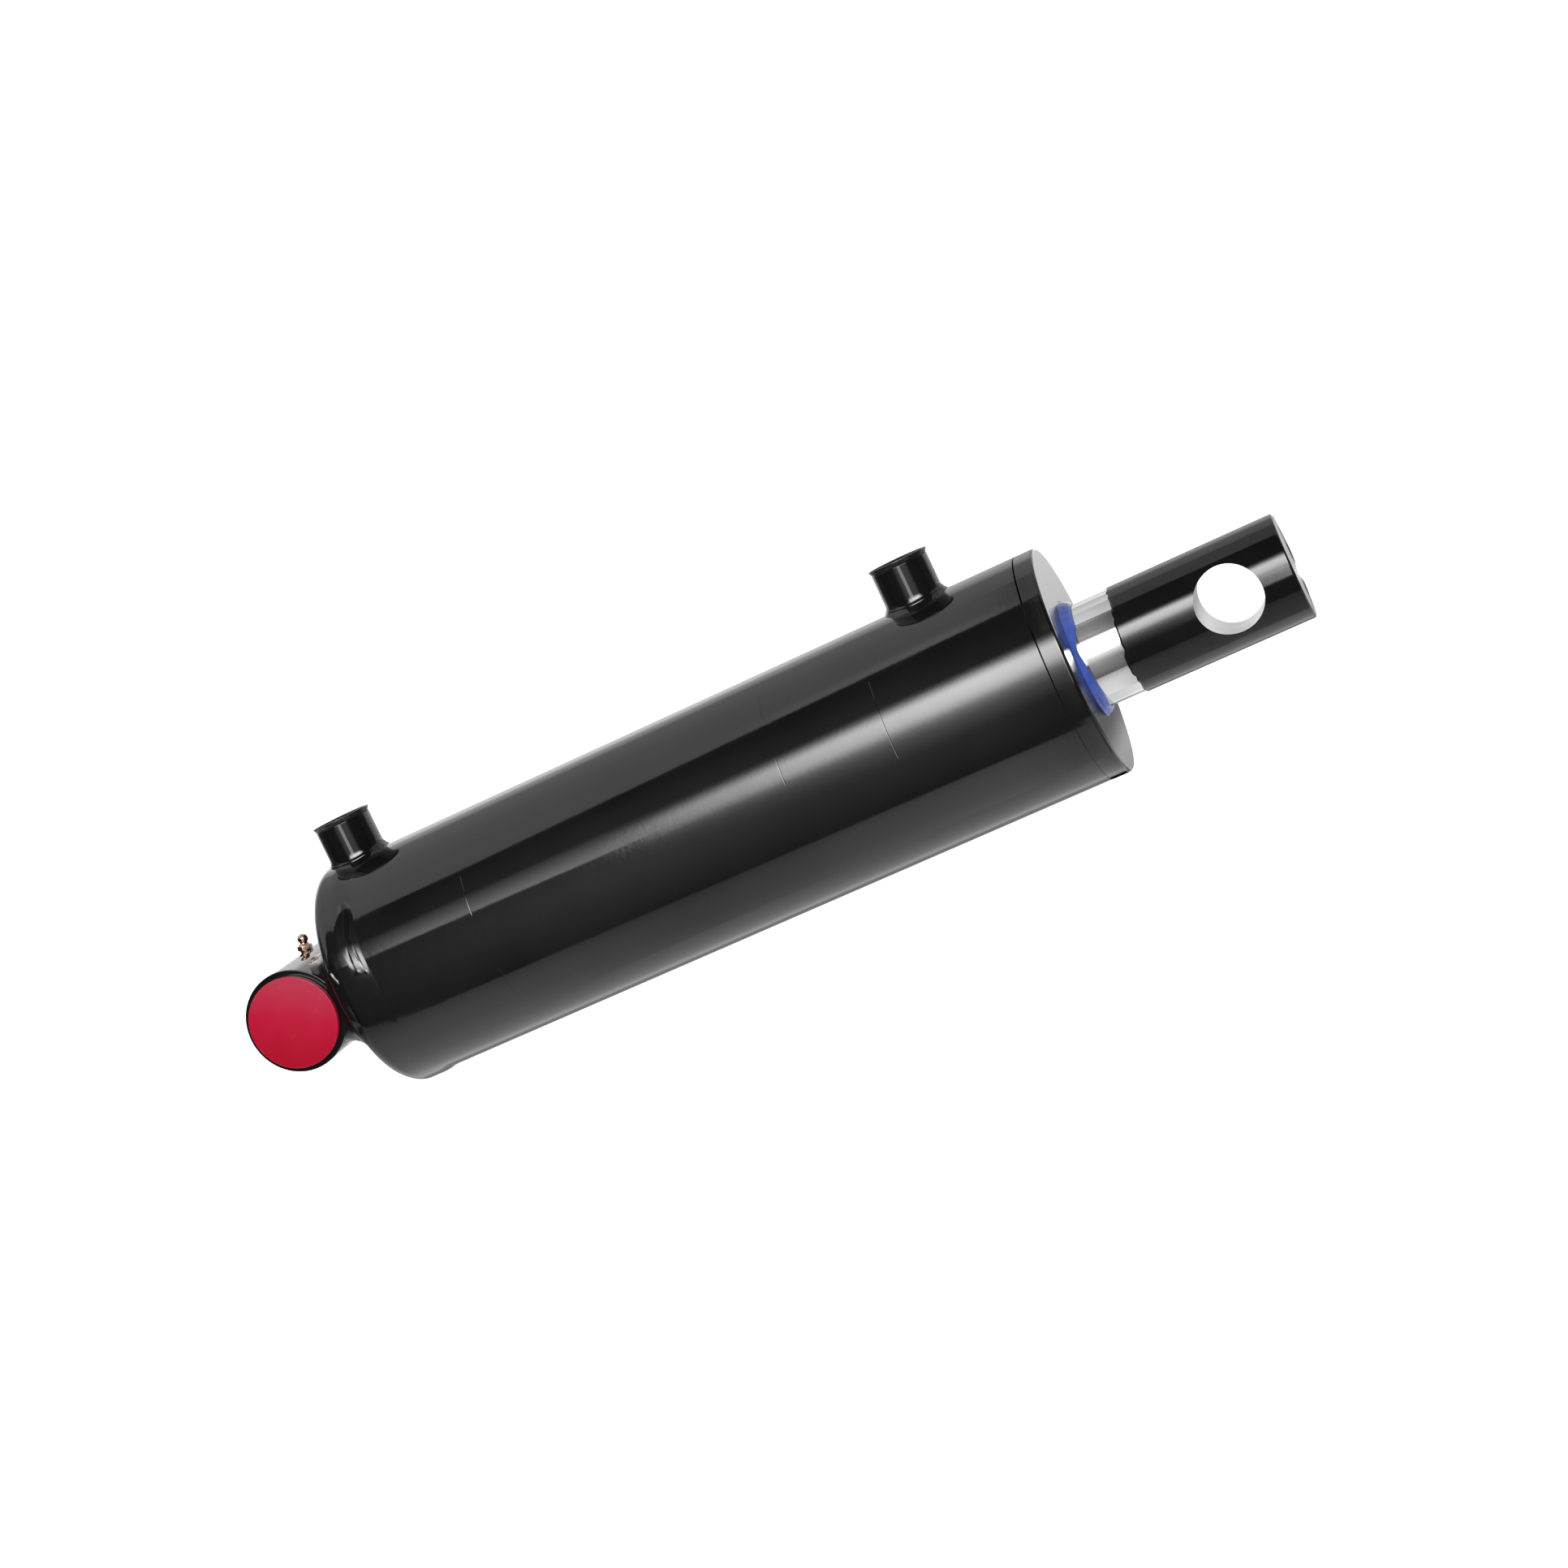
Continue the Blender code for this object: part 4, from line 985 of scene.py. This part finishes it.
def make_world():
    world = bpy.data.worlds.new("studio")
    bpy.context.scene.world = world
    world.use_nodes = True
    tree = world.node_tree
    tree.nodes.clear()
    studio = Studio(tree)
    split = tree.nodes.new("ShaderNodeSeparateXYZ")
    tree.links.new(tree.nodes.new("ShaderNodeTexCoord").outputs["Generated"], split.inputs[0])
    dx, dy, dz = split.outputs
    turn = studio.calc("ARCTAN2", dz, studio.calc("MULTIPLY", dy, -1.0))
    rise = studio.calc("MULTIPLY", turn, 180.0 / math.pi)
    across = studio.calc("SQRT", studio.calc("ADD", studio.times(dy, dy), studio.times(dz, dz)))
    lean = studio.calc("DIVIDE", dx, studio.calc("MAXIMUM", across, 0.0001))

    top_edge = studio.ramp(lean, TOP_EDGE)
    over = studio.above(rise, top_edge)
    far = studio.above(rise, TOP_FAR_RISE)
    top_level = studio.calc("MAXIMUM", studio.ramp(lean, TOP_LEAN), far)
    top = studio.times(studio.ramp(rise, TOP_PANEL), top_level, over)
    rim = studio.times(studio.ramp(studio.calc("SUBTRACT", rise, top_edge), RIM_LIGHT),
                       studio.ramp(lean, RIM_LEAN), over)
    under = studio.inverse(studio.above(rise, studio.ramp(lean, LOW_EDGE)))
    back = studio.inverse(studio.above(rise, LOW_FAR_RISE))
    low_level = studio.calc("ADD", studio.times(studio.ramp(lean, LOW_LEAN), studio.inverse(back)),
                            studio.times(studio.ramp(lean, FAR_LEAN), back))
    low_panel = studio.times(studio.ramp(rise, LOW_PANEL), low_level, under)
    fill = studio.times(studio.ramp(rise, FRONT_FILL), studio.ramp(lean, FILL_LEAN),
                        studio.inverse(over), studio.inverse(under))
    below = studio.calc("MINIMUM", studio.calc("SUBTRACT", rise, LONG_CENTRE), 0.0)
    spread = studio.times(below, studio.calc("SUBTRACT", studio.ramp(lean, LONG_SPREAD), 1.0))
    long_box = studio.times(studio.ramp(studio.calc("ADD", rise, spread), LONG_BOX),
                            studio.ramp(lean, LONG_LEAN))
    short_edge = studio.calc("SUBTRACT", SHORT_EDGE, studio.calc("MULTIPLY", lean, SHORT_SLOPE))
    short_box = studio.times(studio.ramp(rise, SHORT_BOX), studio.ramp(lean, SHORT_LEAN),
                             studio.above(rise, short_edge))
    patch = studio.times(studio.ramp(rise, PATCH_RISE), studio.ramp(lean, PATCH_LEAN))
    card = studio.times(studio.ramp(rise, BACK_CARD), studio.ramp(lean, BACK_LEAN))
    rod_fill = studio.times(studio.ramp(rise, ROD_FILL), studio.ramp(lean, ROD_LEAN))
    total = top
    for part in (rim, card, low_panel, fill, long_box, short_box, patch, rod_fill):
        total = studio.calc("ADD", total, part)
    wide = studio.calc("ABSOLUTE", lean)
    sides = studio.ramp(wide, ((SIDE_LEAN[0], 1.0), (SIDE_LEAN[1], SIDE_LEVEL)))
    total = studio.times(total, sides)

    lit, seen = [tree.nodes.new("ShaderNodeBackground") for _ in range(2)]
    for light in (lit, seen):
        light.inputs["Color"].default_value = (1.0, 1.0, 1.0, 1.0)
    tree.links.new(total, lit.inputs["Strength"])
    seen.inputs["Strength"].default_value = 1.05
    choose = tree.nodes.new("ShaderNodeMixShader")
    tree.links.new(tree.nodes.new("ShaderNodeLightPath").outputs["Is Camera Ray"], choose.inputs[0])
    tree.links.new(lit.outputs[0], choose.inputs[1])
    tree.links.new(seen.outputs[0], choose.inputs[2])
    tree.links.new(choose.outputs[0], tree.nodes.new("ShaderNodeOutputWorld").inputs[0])


def make_floor():
    size, height = 6.0, -0.16
    mesh = bpy.data.meshes.new("floor")
    mesh.from_pydata([(-size, -size, height), (size, -size, height), (size, size, height),
                      (-size, size, height)], [], [(0, 1, 2, 3)])
    made = Shader("pale_floor", Base_Color=(0.9, 0.9, 0.9, 1.0), Roughness=0.9,
                  Emission_Color=(1.0, 1.0, 1.0, 1.0), Emission_Strength=0.75)
    mesh.materials.append(made.material)
    floor = bpy.data.objects.new("studio_floor", mesh)
    bpy.context.scene.collection.objects.link(floor)
    floor.visible_glossy = False


def make_camera():
    data = bpy.data.cameras.new("camera")
    data.lens = 65.66
    data.sensor_width = 36.0
    data.clip_start = 0.05
    data.clip_end = 50.0
    camera = bpy.data.objects.new("camera", data)
    camera.location = (0.4608, -1.0475, 0.1015)
    camera.rotation_euler = [math.radians(angle) for angle in (84.2287, 25.2487, 11.2694)]
    bpy.context.scene.collection.objects.link(camera)
    bpy.context.scene.camera = camera


make_camera()
make_world()
make_floor()
make_barrel()
make_base_cap()
make_cap_weld()
make_cross_tube()
make_cross_tube_weld()
make_bore_plugs()
make_grease_fitting()
make_ports()
make_gland()
make_wiper()
make_rod()
make_rod_eye()
finish_inner_nodes()
bpy.context.scene.view_settings.view_transform = "Standard"
